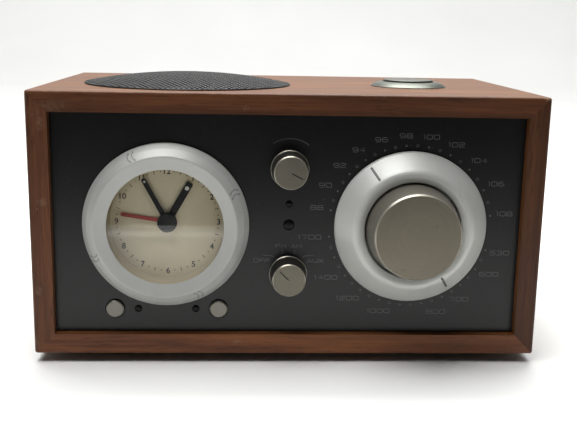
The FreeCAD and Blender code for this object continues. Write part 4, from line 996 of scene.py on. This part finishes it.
def table():
    """A wide pale table top: a rounded front edge with a ledge under it, and swept up
    into a backdrop behind."""
    look = Look("pale_floor", 0.75)
    cloud = look.noise(3, 2, 0.5)
    look.set("Base Color", look.ramp(cloud, (0.3, srgb("e9e9e7")), (0.7, srgb("eeeeec"))))
    half, edge_r, under = 6.0, 0.006, -0.03
    sweep_y, sweep_r, wall_top = 1.5, 0.8, 3.6
    line = [(sweep_y + sweep_r, wall_top)]
    for i in range(17):
        a = math.radians(90 * i / 16)
        line.append((sweep_y + sweep_r * math.cos(a), sweep_r - sweep_r * math.sin(a)))
    for i in range(9):
        a = math.radians(90 + 90 * i / 8)
        line.append((TABLE_EDGE_Y + edge_r + edge_r * math.cos(a), edge_r * math.sin(a) - edge_r))
    ledge_y = TABLE_EDGE_Y - LEDGE_OUT
    line += [(TABLE_EDGE_Y - 0.002, -edge_r), (ledge_y + 0.004, -edge_r), (ledge_y, -edge_r - 0.004)]
    line += [(ledge_y, under), (sweep_y + sweep_r + 0.05, under), (sweep_y + sweep_r + 0.05, wall_top)]
    points = [(x, y, z) for x in (-half, half) for y, z in line]
    turns = len(line)
    faces = [(i, (i + 1) % turns, turns + (i + 1) % turns, turns + i) for i in range(turns)]
    mesh = bpy.data.meshes.new("floor")
    mesh.from_pydata(points, [], faces)
    mesh.materials.append(look.m)
    smooth(mesh)
    floor = bpy.data.objects.new("floor", mesh)
    bpy.context.scene.collection.objects.link(floor)
    floor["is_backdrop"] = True


def studio_world():
    """A room that is dim on the side the object faces and bright behind it, and plain
    near-white where it is seen directly."""
    world = bpy.data.worlds.new("studio")
    bpy.context.scene.world = world
    world.use_nodes = True
    sky = world.node_tree
    background = sky.nodes["Background"]
    coords = sky.nodes.new("ShaderNodeTexCoord")
    ahead = sky.nodes.new("ShaderNodeVectorMath")
    ahead.operation = "DOT_PRODUCT"
    ahead.inputs[1].default_value = (0.0, 0.5, 0.0)
    middle_up = sky.nodes.new("ShaderNodeMath")
    middle_up.inputs[1].default_value = 0.5
    blend = sky.nodes.new("ShaderNodeValToRGB")
    sky.links.new(coords.outputs["Generated"], ahead.inputs[0])
    sky.links.new(ahead.outputs["Value"], middle_up.inputs[0])
    sky.links.new(middle_up.outputs["Value"], blend.inputs["Fac"])
    greys = ((0.2, 0.045), (0.45, 0.2), (0.8, 0.3), (0.94, 0.9))
    steps = blend.color_ramp.elements
    while len(steps) < len(greys):
        steps.new(0.5)
    for step, (at, grey) in zip(steps, greys):
        step.position = at
        step.color = (grey, grey, grey, 1)
    seen = sky.nodes.new("ShaderNodeLightPath")
    either = sky.nodes.new("ShaderNodeMix")
    either.data_type = "RGBA"
    either.inputs[7].default_value = (0.95, 0.95, 0.95, 1)
    sky.links.new(seen.outputs["Is Camera Ray"], either.inputs[0])
    sky.links.new(blend.outputs["Color"], either.inputs[6])
    sky.links.new(either.outputs[2], background.inputs["Color"])
    background.inputs["Strength"].default_value = 1.0


def softbox(name, place, aim, width, height, power):
    """A rectangular lamp at a place, turned to an aim."""
    light = bpy.data.lights.new(name, "AREA")
    light.shape = "RECTANGLE"
    light.size, light.size_y = width, height
    light.energy = power
    thing = bpy.data.objects.new(name, light)
    thing.location = place
    thing.rotation_euler = (Vector(aim) - Vector(place)).to_track_quat("-Z", "Y").to_euler()
    bpy.context.scene.collection.objects.link(thing)


table()
studio_world()
softbox("overhead", (-0.05, 0.04, 0.8), (-0.01, 0.02, 0.0), 1.1, 0.5, 12.0)
softbox("backdrop_light", (0.0, 0.9, 2.4), (0, 2.0, 0.2), 3.0, 0.8, 60)
# two faint strips along the table's front edge, which the lens mirrors as a band
for name, y, width, power in (("edge_strip", TABLE_EDGE_Y + 0.013, 0.014, 0.028),
                              ("ledge_strip", TABLE_EDGE_Y - 0.01, 0.007, 0.016)):
    softbox(name, (-0.05, y, 0.001), (-0.05, y, 1.0), 0.6, width, power)
bpy.context.scene.view_settings.view_transform = "Standard"

# the eye, measured from the middle of the cabinet's front at floor level, and where it looks
EYE = Vector((-17.9, -360.2, 141.4)) * MM
YAW, PITCH_DOWN, ROLL = math.radians(2.78), math.radians(12.12), math.radians(1.08)
forward = Vector((math.sin(YAW) * math.cos(PITCH_DOWN), math.cos(YAW) * math.cos(PITCH_DOWN),
                  -math.sin(PITCH_DOWN)))
level = forward.cross(Vector((0, 0, 1))).normalized()
upright = level.cross(forward)
side_axis = level * math.cos(ROLL) + upright * math.sin(ROLL)
up_axis = -level * math.sin(ROLL) + upright * math.cos(ROLL)
turn = Matrix((side_axis, up_axis, -forward)).transposed().to_4x4()
front_middle = Vector((0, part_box("cabinet_left_side")[0].y, 0))
camera = bpy.data.objects.new("camera", bpy.data.cameras.new("camera"))
bpy.context.scene.collection.objects.link(camera)
camera.matrix_world = Matrix.Translation(front_middle + EYE) @ turn
camera.data.sensor_width = 36
camera.data.lens = 55.73
camera.data.clip_start = 0.01
bpy.context.scene.camera = camera

low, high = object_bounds()
